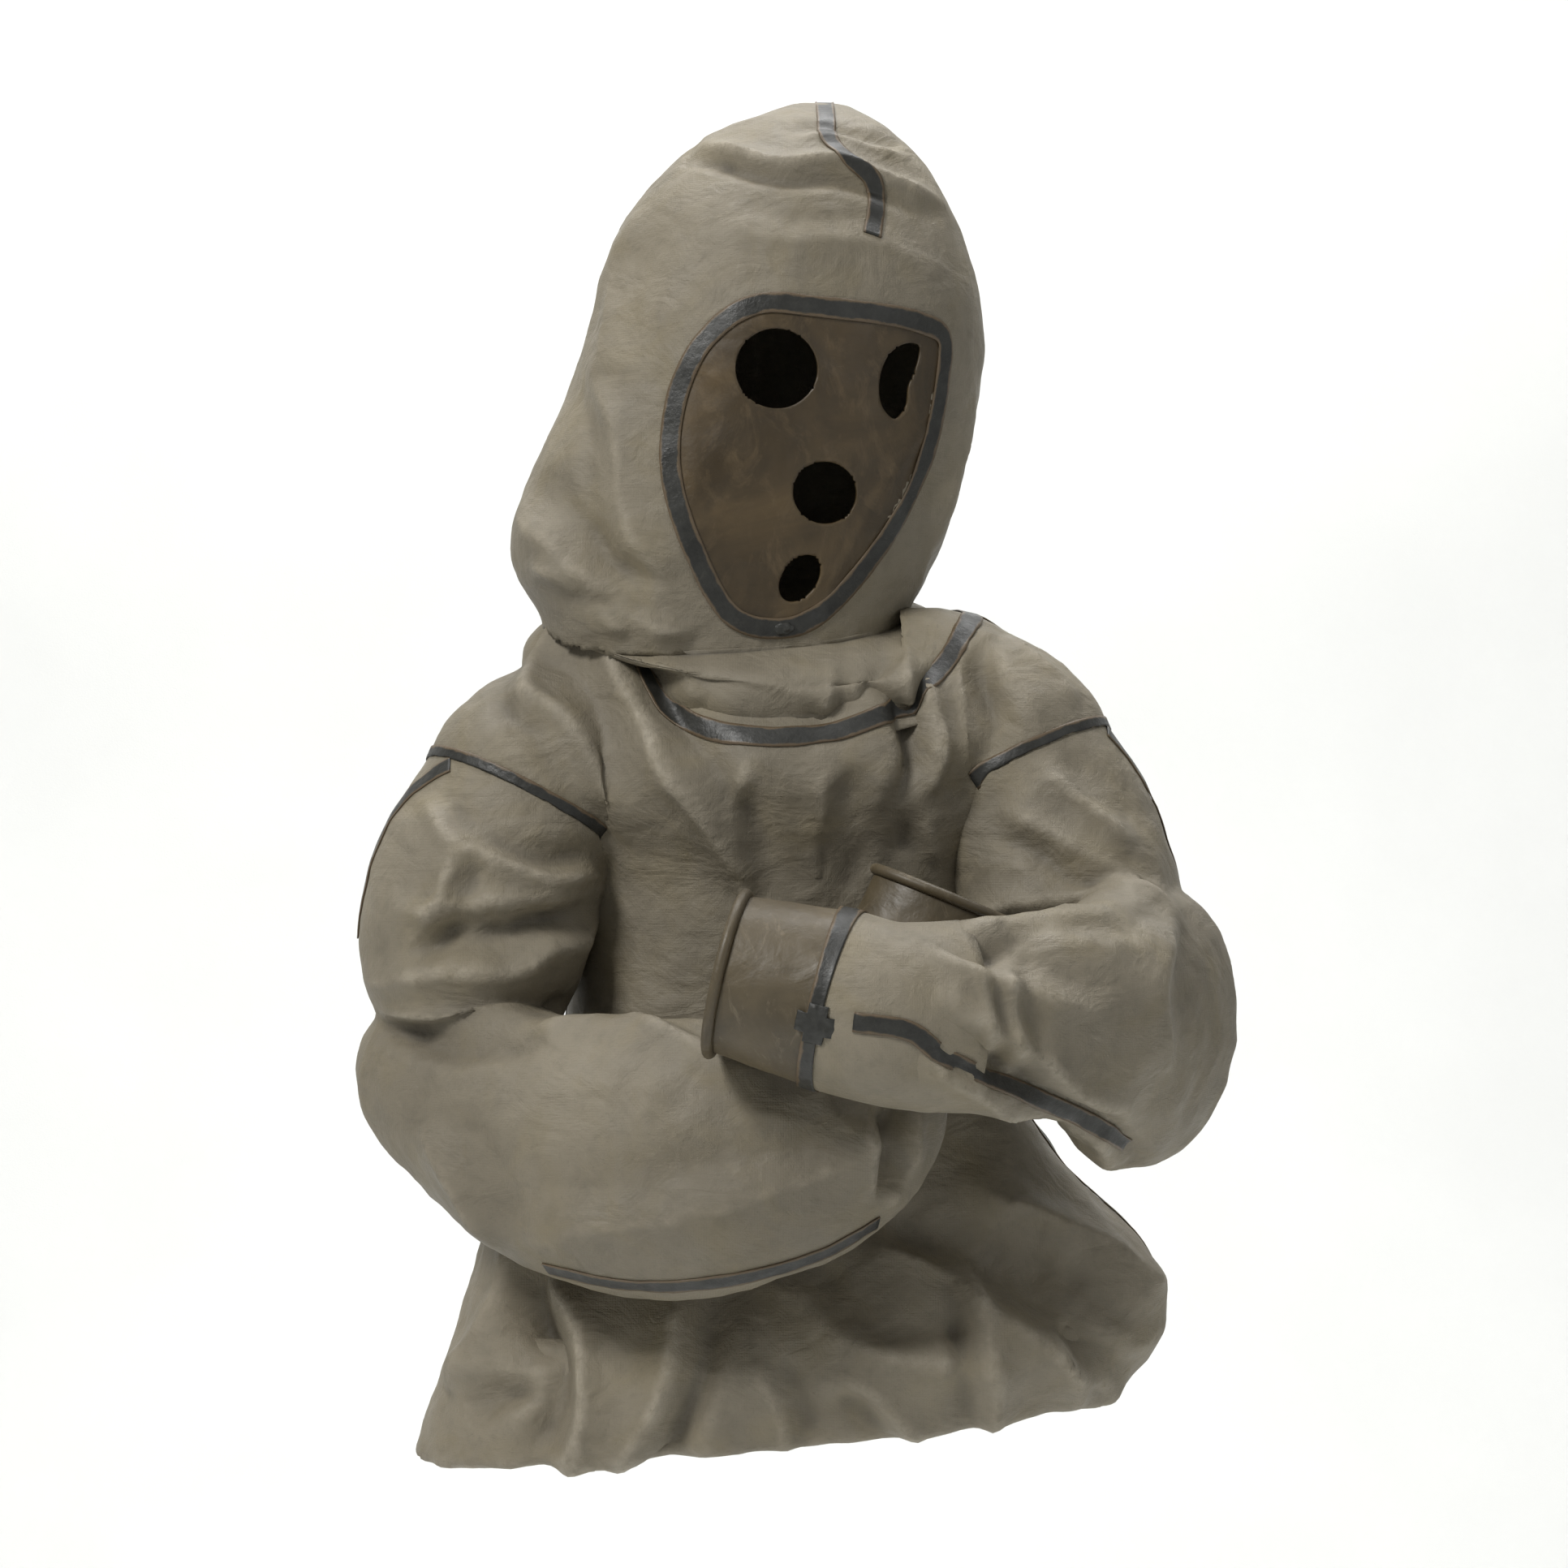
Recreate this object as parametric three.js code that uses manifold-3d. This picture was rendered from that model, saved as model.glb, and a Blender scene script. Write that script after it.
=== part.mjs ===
// A hooded protective smock of heavy rubberised canvas, worn with the arms folded.
// Millimetres, +Z up. The front faces -Y, the wearer's right side is at -X.
// The origin is the middle of the neck opening, where the wearer's shoulders carry the smock.
//
// Every cloth part is a hollow form with one wall thickness. A form is a row of oval sections
// along a smooth path. Seam tapes are thin layers on the outside of the same forms.

import * as THREE from 'three';
import { mergeVertices } from 'three/addons/utils/BufferGeometryUtils.js';
import Module from 'manifold-3d';

const wasm = await Module();
wasm.setup();

// Driving dimensions: lengths in millimetres, angles in degrees.
const SMOCK_LENGTH = 615; // hem to the top of the shoulders, as worn
const HEM_HALF_WIDTH = 246; // bloused skirt, seen from the front
const CHEST_HALF_WIDTH = 150; // between the folded arms
const SKIRT_DEPTH = 150; // how far the bloused skirt stands forward
const BACK_DEPTH = 132; // how far the back stands behind the middle
const CLOTH_WALL = 4; // outside to inside of a cloth part
const JOIN_GAP = 0.3; // between pieces that are cemented together
const TAPE_WIDTH = 13; // every seam tape
const TAPE_THICKNESS = 1.4;
const STRIP_WIDTH = 34; // the backing strip inside the neckline
const HEM_FACING_HEIGHT = 45;
const NECK_RADIUS = 108; // neckline seam
const HOOD_HEIGHT = 345; // bottom edge at the side to the crown
const HOOD_HALF_WIDTH = 130;
const HOOD_TURN = 22; // how far the hood faces towards the wearer's left
const ARMHOLE_RADIUS = 76; // sleeve at the armhole seam
const FOREARM_RADIUS = 92; // fullest part of the forearm
const CUFF_RADIUS = 52; // rubber cuff at its mouth
const CUFF_LENGTH = 66;
const BAND_LENGTH = 44; // doubled cloth between the sleeve and the cuff
const RIM_THICKNESS = 5; // rolled bead at the cuff's mouth
const RIM_LENGTH = 8;
const EYE_RADIUS = 28; // round holes cut in the face panel

// Heights of the main stations, counted from the lowest edge of the hem.
const NECK_HEIGHT = SMOCK_LENGTH - 55;
const SHOULDER_HEIGHT = SMOCK_LENGTH - 90;
const HOOD_BASE = SMOCK_LENGTH - 3;

const STRIP_CUT = 26; // depth of the strip that cuts a lengthwise tape out of its layer
const OPEN_CUT = 5; // how far a hollow is drawn out past an open end

// Colours, roughness and metalness of the materials.
const FINISHES = {
  canvas: { color: 0x86847a, roughness: 0.75, metalness: 0 },
  tape: { color: 0x3e3e3a, roughness: 0.45, metalness: 0 },
  rubber: { color: 0x695f44, roughness: 0.5, metalness: 0 },
};

const smock = new THREE.Group();
smock.position.z = -NECK_HEIGHT;

function vec(x, y, z) {
  return new THREE.Vector3(x, y, z);
}

// A cut can leave a sliver beside the piece, so the largest body of the result is the piece.
function addPiece(name, solid, finish) {
  const [whole] = solid.decompose().sort((p, q) => q.volume() - p.volume());
  const mesh = new THREE.Mesh(geometryOf(whole), new THREE.MeshStandardMaterial(FINISHES[finish]));
  mesh.name = name;
  smock.add(mesh);
}

// ---- Solids ----

function solidOf(geometry) {
  const bare = geometry.clone();
  bare.deleteAttribute('normal');
  bare.deleteAttribute('uv');
  const merged = mergeVertices(bare, 1e-4);
  return new wasm.Manifold(new wasm.Mesh({
    numProp: 3,
    vertProperties: merged.attributes.position.array,
    triVerts: Uint32Array.from(merged.index.array),
  }));
}

function geometryOf(solid) {
  const mesh = solid.getMesh();
  const geometry = new THREE.BufferGeometry();
  geometry.setAttribute('position', new THREE.BufferAttribute(mesh.vertProperties, 3));
  geometry.setIndex(new THREE.BufferAttribute(mesh.triVerts, 1));
  geometry.computeVertexNormals();
  return geometry;
}

function boxSolid(low, high) {
  const size = high.clone().sub(low);
  const middle = high.clone().add(low).multiplyScalar(0.5);
  const geometry = new THREE.BoxGeometry(size.x, size.y, size.z);
  return solidOf(geometry.translate(middle.x, middle.y, middle.z));
}

// ---- Forms: oval sections along a path ----

// A station has its centre, its half sizes a and b to the minus and plus sides, and a tilt that
// raises its rim in proportion to x and y. The section's a axis follows the form's side vector.
// Sections of an upright form stay level; those of the others are square to the path.
function makeForm(stations, { side, upright = false, power = 2, around = 20, rows = 8, closed = [false, false] }) {
  const curve = (points) => new THREE.CatmullRomCurve3(points, false, 'catmullrom', 0.5);
  const path = new THREE.CatmullRomCurve3(stations.map((s) => s.at), false, 'centripetal');
  return {
    path,
    a: curve(stations.map((s) => vec(s.a[0], s.a[1], 0))),
    b: curve(stations.map((s) => vec(s.b[0], s.b[1], 0))),
    tilt: curve(stations.map((s) => vec(...(s.tilt ?? [0, 0]), 0))),
    length: path.getLength(),
    side,
    upright,
    power,
    around,
    rows,
    closed,
  };
}

// The share of a form's path that a distance takes up near one point of it.
function shareOf(form, t, distance) {
  const step = 0.004;
  const low = Math.max(t - step, 0);
  const high = Math.min(t + step, 1);
  return distance * (high - low) / form.path.getPoint(high).distanceTo(form.path.getPoint(low));
}

function directionAt(form, t) {
  return form.upright ? vec(0, 0, 1) : form.path.getTangent(t);
}

function surfacePoint(form, angle, v) {
  const t = THREE.MathUtils.clamp(v, 0, 1);
  const centre = form.path.getPoint(t);
  const along = directionAt(form, t);
  const axisA = form.side.clone().addScaledVector(along, -form.side.dot(along)).normalize();
  const axisB = axisA.clone().cross(along);
  const a = form.a.getPoint(t);
  const b = form.b.getPoint(t);
  const tilt = form.tilt.getPoint(t);
  const round = (value) => Math.sign(value) * Math.abs(value) ** (2 / form.power);
  const x = round(Math.sin(angle));
  const z = round(Math.cos(angle));
  const point = centre.clone();
  point.addScaledVector(axisA, x * (x < 0 ? a.x : a.y));
  point.addScaledVector(axisB, z * (z < 0 ? b.x : b.y));
  point.z += tilt.x * (point.x - centre.x) + tilt.y * (point.y - centre.y);
  return point.addScaledVector(along, (v - t) / shareOf(form, t, 1));
}

function offsetPoint(form, angle, v, grow) {
  const step = 0.002;
  const turn = surfacePoint(form, angle + step, v).sub(surfacePoint(form, angle - step, v));
  const climb = surfacePoint(form, angle, v + step).sub(surfacePoint(form, angle, v - step));
  return surfacePoint(form, angle, v).addScaledVector(turn.cross(climb).normalize(), grow);
}

// The solid inside a form's surface, grown by an amount, from one share of its path to another.
// A closed end of the form is pushed out with the surface. An open end is drawn out straight by
// the given length, in a row of its own.
function fill(form, from, to, grow, { rows = form.rows, drawn = 0 } = {}) {
  const shutLow = from === 0 && form.closed[0];
  const shutHigh = to === 1 && form.closed[1];
  const below = drawn > 0 && !shutLow ? 1 : 0;
  const above = drawn > 0 && !shutHigh ? 1 : 0;
  const total = below + rows + above;
  const geometry = new THREE.CylinderGeometry(1, 1, 1, form.around, total);
  const place = geometry.attributes.position;
  for (let i = 0; i < place.count; i += 1) {
    const row = Math.round((place.getY(i) + 0.5) * total) - below;
    const v = from + (to - from) * THREE.MathUtils.clamp(row / rows, 0, 1);
    const along = directionAt(form, v);
    let point = offsetPoint(form, Math.atan2(place.getX(i), place.getZ(i)), v, grow);
    if (Math.hypot(place.getX(i), place.getZ(i)) < 0.5) {
      const push = (row === rows && shutHigh ? grow : 0) - (row === 0 && shutLow ? grow : 0);
      point = form.path.getPoint(v).addScaledVector(along, push);
    }
    point.addScaledVector(along, (row < 0 ? -drawn : 0) + (row > rows ? drawn : 0));
    place.setXYZ(i, point.x, point.y, point.z);
  }
  return solidOf(geometry);
}

// A strip that follows a form's surface along its path, deep enough to cut through a tape layer.
function stripCutter(form, from, to, angleAt, width, rows = 12) {
  const geometry = new THREE.BoxGeometry(1, 1, 1, 1, rows, 1);
  const place = geometry.attributes.position;
  for (let i = 0; i < place.count; i += 1) {
    const share = place.getY(i) + 0.5;
    const v = from + (to - from) * share;
    const angle = angleAt(share);
    const radius = surfacePoint(form, angle, v).distanceTo(form.path.getPoint(v));
    const turned = angle + (place.getX(i) * width) / radius;
    const point = offsetPoint(form, turned, v, place.getZ(i) * STRIP_CUT);
    place.setXYZ(i, point.x, point.y, point.z);
  }
  return solidOf(geometry);
}

// A hollow tube with open ends, from one share of a form's path to another.
function tube(form, from, to, wall, rows) {
  return fill(form, from, to, 0, { rows }).subtract(fill(form, from, to, -wall, { rows, drawn: OPEN_CUT }));
}

// A layer on the outside of a solid, with a small gap under it. The solid is given as a function
// of how far it is grown and of how far its open ends are drawn out.
function tapeLayer(solidAt, lift = JOIN_GAP) {
  return solidAt(lift + TAPE_THICKNESS, 0).subtract(solidAt(lift, OPEN_CUT));
}

// A flat outline in X and Z, pushed through from y = near to y = far.
function prism(outline, near, far) {
  const shape = new THREE.Shape(outline.map((p) => new THREE.Vector2(p.x, p.y)));
  const geometry = new THREE.ExtrudeGeometry(shape, { depth: far - near, bevelEnabled: false });
  geometry.rotateX(Math.PI / 2);
  return solidOf(geometry.translate(0, far, 0));
}

function smoothOutline(points, count) {
  const curve = new THREE.CatmullRomCurve3(points.map(([x, z]) => vec(x, z, 0)), true, 'centripetal');
  return curve.getSpacedPoints(count).slice(0, count);
}

// The outlines run clockwise, so out is to the left of the run.
function growOutline(outline, amount) {
  const last = outline.length;
  return outline.map((p, i) => {
    const before = outline[(i + last - 1) % last];
    const after = outline[(i + 1) % last];
    const run = after.clone().sub(before).normalize();
    return vec(p.x - run.y * amount, p.y + run.x * amount, 0);
  });
}

// ---- The body: torso and dropped shoulders ----

const CHEST_FRONT = 98; // the chest behind the folded arms
const lowered = (drop) => SHOULDER_HEIGHT - drop; // heights that hang from the shoulders

const torso = makeForm([
  { at: vec(-14, 0, 32), a: [HEM_HALF_WIDTH, HEM_HALF_WIDTH], b: [BACK_DEPTH - 6, SKIRT_DEPTH - 12], tilt: [0.09, 0] },
  { at: vec(14, 0, 95), a: [HEM_HALF_WIDTH, HEM_HALF_WIDTH + 6], b: [BACK_DEPTH, SKIRT_DEPTH], tilt: [0.04, 0] },
  { at: vec(16, 0, 160), a: [HEM_HALF_WIDTH - 20, HEM_HALF_WIDTH - 14], b: [BACK_DEPTH, CHEST_FRONT + 12] },
  { at: vec(0, 0, 215), a: [HEM_HALF_WIDTH - 50, HEM_HALF_WIDTH - 50], b: [BACK_DEPTH, CHEST_FRONT] },
  { at: vec(0, 0, lowered(250)), a: [CHEST_HALF_WIDTH + 6, CHEST_HALF_WIDTH + 6], b: [BACK_DEPTH - 4, CHEST_FRONT - 4] },
  { at: vec(0, 0, lowered(110)), a: [CHEST_HALF_WIDTH, CHEST_HALF_WIDTH], b: [BACK_DEPTH - 4, CHEST_FRONT + 6] },
  { at: vec(0, 0, lowered(38)), a: [CHEST_HALF_WIDTH + 8, CHEST_HALF_WIDTH + 6], b: [BACK_DEPTH - 8, CHEST_FRONT + 40] },
  { at: vec(0, 0, lowered(-8)), a: [CHEST_HALF_WIDTH + 14, CHEST_HALF_WIDTH + 8], b: [BACK_DEPTH - 16, CHEST_FRONT + 18] },
  { at: vec(0, 0, lowered(-45)), a: [CHEST_HALF_WIDTH, CHEST_HALF_WIDTH - 8], b: [BACK_DEPTH - 34, CHEST_FRONT - 12] },
  { at: vec(0, 0, lowered(-76)), a: [CHEST_HALF_WIDTH - 30, CHEST_HALF_WIDTH - 34], b: [BACK_DEPTH - 56, CHEST_FRONT - 34] },
  { at: vec(0, 0, SMOCK_LENGTH), a: [60, 60], b: [38, 38] },
], { side: vec(1, 0, 0), upright: true, power: 2.3, around: 24, rows: 11, closed: [false, true] });

// An arm from inside the torso over the dropped shoulder down to the elbow. The stations after
// the armhole are the sleeve's own.
function armStations(sign, armhole, lean, elbow, radius) {
  const shoulder = vec(sign * 80, 12, lowered(-12));
  const top = vec(armhole.x - sign * 36, 0.4 * armhole.y, armhole.z + 38);
  const seam = armhole.clone();
  const before = seam.clone().addScaledVector(lean, -24);
  const after = seam.clone().addScaledVector(lean, 24);
  const even = (r) => ({ a: [r, r], b: [r, r] });
  return [
    { at: shoulder, ...even(radius - 22) },
    { at: top, ...even(radius - 6) },
    { at: before, ...even(radius) },
    { at: seam, ...even(radius) },
    { at: after, ...even(radius) },
    { at: elbow[0], ...even(radius + 3) },
    { at: elbow[1], ...even(radius - 5) },
    { at: elbow[2], ...even(radius - 34) },
  ];
}
const SEAM_SHARE = 3 / 7; // where the armhole seam lies among the eight stations

const rightArm = makeForm(armStations(
  -1,
  vec(-180, -40, lowered(62)),
  vec(-0.46, -0.2, -0.86).normalize(),
  [vec(-208, -58, lowered(125)), vec(-216, -66, lowered(180)), vec(-216, -72, lowered(236))],
  ARMHOLE_RADIUS,
), { side: vec(1, 0, 0), around: 16, rows: 5 });

const leftArm = makeForm(armStations(
  1,
  vec(162, -28, lowered(40)),
  vec(0.46, -0.2, -0.86).normalize(),
  [vec(190, -46, lowered(102)), vec(208, -62, lowered(150)), vec(220, -76, lowered(192))],
  ARMHOLE_RADIUS - 3,
), { side: vec(1, 0, 0), around: 16, rows: 5 });

// The forearms lie folded across the chest: the right one rises behind the left one.
function forearm(rows, cuffStart, cuffEnd, cuffDepth) {
  const along = cuffEnd.clone().sub(cuffStart).normalize();
  const wrist = cuffStart.clone().addScaledVector(along, -BAND_LENGTH);
  const mouth = cuffStart.clone().addScaledVector(along, CUFF_LENGTH);
  const oval = (r) => ({ a: [r, r], b: [r * cuffDepth, r * cuffDepth] });
  return makeForm([
    ...rows.map(([x, y, drop, high, deep]) => ({ at: vec(x, y, lowered(drop)), a: [high, high], b: [deep, deep] })),
    { at: wrist, ...oval(CUFF_RADIUS + 7) },
    { at: cuffStart, ...oval(CUFF_RADIUS + 6) },
    { at: mouth, ...oval(CUFF_RADIUS) },
  ], { side: vec(0, 0, 1), around: 18, rows: 9, closed: [true, false] });
}
const rightForearm = forearm([
  [-284, -30, 236, 24, 20],
  [-262, -48, 240, 48, 44],
  [-223, -80, 254, 65, 60],
  [-152, -142, 284, FOREARM_RADIUS - 5, 66],
  [-58, -188, 292, FOREARM_RADIUS, 64],
  [16, -188, 284, FOREARM_RADIUS - 20, 54],
  [64, -170, 246, FOREARM_RADIUS - 34, 42],
], vec(84, -150, lowered(184)), vec(108, -147, lowered(126)), 0.7);
const leftForearm = forearm([
  [287, -40, 186, 34, 24],
  [270, -62, 186, 72, 46],
  [240, -108, 205, FOREARM_RADIUS + 8, 54],
  [190, -222, 194, FOREARM_RADIUS - 22, 46],
], vec(30, -276, lowered(182)), vec(-46, -266, lowered(164)), 0.9);

// The wrist, the cuff's start and its mouth are the last three stations.
function armShares(form) {
  const last = form.a.points.length - 1;
  const wrist = (last - 2) / last;
  const cuff = (last - 1) / last;
  return { wrist, cuff, gap: shareOf(form, cuff, 2 * JOIN_GAP) };
}

const bodySolid = (grow, drawn = 0) => fill(torso, 0, 1, grow, { drawn })
  .add(fill(rightArm, 0, SEAM_SHARE, grow, { rows: 3, drawn }))
  .add(fill(leftArm, 0, SEAM_SHARE, grow, { rows: 3, drawn }));

// ---- The neck skirt: the slack foot of the hood, cemented round the neckline ----

const NECK_REACH = 70; // how far the neck opening is cut down through the shoulders
const hoodAngle = THREE.MathUtils.degToRad(HOOD_TURN);
const hoodSide = vec(Math.cos(hoodAngle), Math.sin(hoodAngle), 0);
const neckOval = (r, back, front) => ({ a: [r, r], b: [back, front] });
const hoodFoot = { a: [0.86 * HOOD_HALF_WIDTH, 0.86 * HOOD_HALF_WIDTH], b: [120, 98], tilt: [0, 0.3] };
const hoodFootAt = vec(-24, 4, HOOD_BASE - 10);
// The skirt's wall is measured level, because the cloth slopes steeply here.
const skirtStations = [
  { at: vec(11, -26, NECK_HEIGHT + 6), ...neckOval(NECK_RADIUS + 3, 106, 92), tilt: [0, 0.4] },
  { at: vec(4, -24, NECK_HEIGHT + 22), ...neckOval(NECK_RADIUS + 10, 116, 106), tilt: [0, 0.34] },
  { at: vec(-10, -12, NECK_HEIGHT + 32), ...neckOval(NECK_RADIUS + 10, 124, 108), tilt: [0, 0.3] },
  { at: hoodFootAt.clone().add(vec(0, 0, -2 * JOIN_GAP)), ...hoodFoot },
];
const skirtForm = (inset) => makeForm(skirtStations.map((s) => ({
  ...s,
  a: s.a.map((size) => size - inset),
  b: s.b.map((size) => size - inset),
})), { side: hoodSide, upright: true, power: 2.15, around: 24, rows: 5 });
const neckSkirt = skirtForm(0);

// ---- The hood ----

const hoodUp = (share) => HOOD_BASE + share * HOOD_HEIGHT;
const hoodWide = (share) => [share * HOOD_HALF_WIDTH, share * HOOD_HALF_WIDTH];
const hood = makeForm([
  { at: hoodFootAt, ...hoodFoot },
  { at: vec(-20, 4, hoodUp(0.1)), a: hoodWide(0.94), b: [150, 108], tilt: [0, 0.18] },
  { at: vec(-12, 3, hoodUp(0.25)), a: hoodWide(1.0), b: [146, 118], tilt: [0, 0.06] },
  { at: vec(-2, 2, hoodUp(0.43)), a: hoodWide(1.0), b: [136, 124] },
  { at: vec(6, 0, hoodUp(0.6)), a: hoodWide(0.94), b: [126, 118] },
  { at: vec(12, 0, hoodUp(0.76)), a: hoodWide(0.8), b: [114, 102] },
  { at: vec(18, 4, hoodUp(0.88)), a: hoodWide(0.58), b: [96, 76] },
  { at: vec(22, 8, hoodUp(0.96)), a: hoodWide(0.34), b: [66, 44] },
  { at: vec(24, 10, hoodUp(1)), a: hoodWide(0.1), b: [26, 16] },
], { side: hoodSide, upright: true, power: 2.15, around: 24, rows: 10, closed: [false, true] });
const hoodSolid = (grow, drawn = 0) => fill(hood, 0, 1, grow, { drawn });
const hoodFront = -10; // cuts for the face stop at this depth

// The face opening and its tape, seen from the front: one closed curve round the panel.
const faceOutline = smoothOutline([
  [-20, 806], [25, 805], [92, 798], [109, 790], [109, 762], [96, 703], [68, 648], [24, 598],
  [-2, 588], [-34, 595], [-61, 640], [-75, 682], [-77, 714], [-70, 752], [-52, 784],
].map(([x, z]) => [x, z - 615 + SMOCK_LENGTH]), 40);
const insideFace = (amount) => prism(growOutline(faceOutline, amount), -300, hoodFront);

function eyeOutline(x, z, half, high, lean) {
  const eye = new THREE.EllipseCurve(0, 0, half, high, 0, 2 * Math.PI, false, lean);
  return eye.getPoints(20).slice(0, 20).map((p) => vec(x + p.x, z - 615 + SMOCK_LENGTH + p.y, 0));
}
const faceHoles = [
  eyeOutline(-5, 763, EYE_RADIUS, EYE_RADIUS - 1, 0),
  smoothOutline([
    [93, 782], [84, 783], [72, 775], [65, 757], [67, 739], [76, 731], [84, 740], [86, 754], [91, 766],
  ].map(([x, z]) => [x, z - 615 + SMOCK_LENGTH]), 24),
  eyeOutline(28, 680, 22, 21, 0),
  eyeOutline(11, 622, 18, 12, THREE.MathUtils.degToRad(52)),
];

const hoodWallSolid = hoodSolid(0).subtract(hoodSolid(-CLOTH_WALL, OPEN_CUT));
const hoodShell = hoodWallSolid.subtract(insideFace(JOIN_GAP));
let facePanel = hoodWallSolid.intersect(insideFace(0));
for (const hole of faceHoles) {
  facePanel = facePanel.subtract(prism(hole, -300, hoodFront));
}
const hoodTape = tapeLayer(hoodSolid);
const faceTape = hoodTape
  .intersect(insideFace(TAPE_WIDTH / 2))
  .subtract(insideFace(-TAPE_WIDTH / 2));
const chinPatchOutline = eyeOutline(-2, 588, 9, 5, 0);
const chinPatch = tapeLayer(hoodSolid, 2 * JOIN_GAP + TAPE_THICKNESS)
  .intersect(prism(chinPatchOutline, -300, hoodFront));

// A slab square to the hood's side vector, from one lateral distance to another.
function hoodSlab(from, to, low, high, back, front) {
  const size = vec(to - from, front - back, high - low);
  const slab = new THREE.BoxGeometry(size.x, size.y, size.z);
  slab.translate((from + to) / 2, (back + front) / 2, (low + high) / 2);
  slab.rotateZ(hoodAngle);
  slab.translate(4, 0, 0);
  return solidOf(slab);
}
const hoodTop = hoodUp(1) + 60;
const FAR = 600;
addPiece('hood_right_panel', hoodShell.intersect(hoodSlab(-FAR, -JOIN_GAP / 2, 0, hoodTop, -FAR, FAR)), 'canvas');
addPiece('hood_left_panel', hoodShell.intersect(hoodSlab(JOIN_GAP / 2, FAR, 0, hoodTop, -FAR, FAR)), 'canvas');
addPiece('face_panel', facePanel, 'rubber');
addPiece('face_tape', faceTape, 'tape');
addPiece('chin_tape_patch', chinPatch, 'tape');
const crownSlab = hoodSlab(-TAPE_WIDTH / 2, TAPE_WIDTH / 2, hoodUp(0.7), hoodTop, -FAR, 60);
addPiece('crown_tape', hoodTape.intersect(crownSlab), 'tape');

const skirtSolid = fill(neckSkirt, 0, 1, 0);
const skirtHollow = fill(skirtForm(CLOTH_WALL + 2), 0, 1, 0, { drawn: NECK_REACH });
const neckCut = (grow, drawn) => fill(neckSkirt, 0, 0.3, grow, { rows: 2, drawn });
const skirtShell = skirtSolid.subtract(skirtHollow).subtract(bodySolid(JOIN_GAP, JOIN_GAP));
addPiece('neck_skirt', skirtShell, 'canvas');

// ---- The body's cloth and tapes ----

const seamPlane = 12; // side and shoulder seams lie at this y
const bodyShell = bodySolid(0).subtract(bodySolid(-CLOTH_WALL, OPEN_CUT)).subtract(skirtHollow)
  .subtract(neckCut(-CLOTH_WALL, NECK_REACH));
const frontHalf = boxSolid(vec(-FAR, -FAR, -FAR), vec(FAR, seamPlane - JOIN_GAP / 2, 2 * FAR));
const backHalf = boxSolid(vec(-FAR, seamPlane + JOIN_GAP / 2, -FAR), vec(FAR, FAR, 2 * FAR));
addPiece('front_body', bodyShell.intersect(frontHalf), 'canvas');
addPiece('back_body', bodyShell.intersect(backHalf), 'canvas');

const bodyTape = tapeLayer(bodySolid);
function neckRing(inside, width) {
  return neckCut(inside + width, 2 * width).subtract(neckCut(inside, NECK_REACH));
}
const neckTape = bodyTape.intersect(neckRing(5, TAPE_WIDTH));
addPiece('neckline_tape', neckTape.subtract(fill(neckSkirt, 0, 1, JOIN_GAP)), 'tape');
const insideWall = CLOTH_WALL + 2 * JOIN_GAP;
const innerLayer = bodySolid(-insideWall).subtract(bodySolid(-insideWall - TAPE_THICKNESS, OPEN_CUT));
addPiece('neckline_backing_strip', innerLayer.intersect(neckRing(4, STRIP_WIDTH)), 'canvas');
const facingBand = boxSolid(vec(-FAR, -FAR, 0), vec(FAR, FAR, HEM_FACING_HEIGHT + 32));
addPiece('hem_facing', innerLayer.intersect(facingBand).intersect(fill(torso, 0, 0.5, 0)), 'canvas');

const seamSlab = (x0, x1, z0, z1) => boxSolid(
  vec(x0, seamPlane - TAPE_WIDTH / 2, z0),
  vec(x1, seamPlane + TAPE_WIDTH / 2, z1),
);
const shoulderReach = ARMHOLE_RADIUS * 3;
for (const [name, sign, arm] of [['right', -1, rightArm], ['left', 1, leftArm]]) {
  const armSolid = (grow, drawn) => fill(arm, 0, SEAM_SHARE, grow, { rows: 3, drawn });
  const width = shareOf(arm, SEAM_SHARE, TAPE_WIDTH);
  const ring = tapeLayer(armSolid)
    .intersect(fill(arm, SEAM_SHARE - width, SEAM_SHARE, 20, { rows: 1 }))
    .subtract(fill(torso, 0, 1, JOIN_GAP, { drawn: JOIN_GAP }));
  addPiece(`${name}_armhole_tape`, ring, 'tape');
  const clear = fill(arm, SEAM_SHARE - 1.05 * width, SEAM_SHARE, 20, { rows: 1, drawn: OPEN_CUT });
  const inner = sign * (NECK_RADIUS + 30);
  const shoulder = seamSlab(Math.min(inner, sign * shoulderReach), Math.max(inner, sign * shoulderReach),
    SHOULDER_HEIGHT, FAR + SMOCK_LENGTH);
  addPiece(`${name}_shoulder_tape`, bodyTape.intersect(shoulder).subtract(clear), 'tape');
  const side = seamSlab(Math.min(0, sign * FAR), Math.max(0, sign * FAR), 40, lowered(170));
  addPiece(`${name}_side_tape`, bodyTape.intersect(side), 'tape');
}

// ---- Sleeves and cuffs ----

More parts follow.
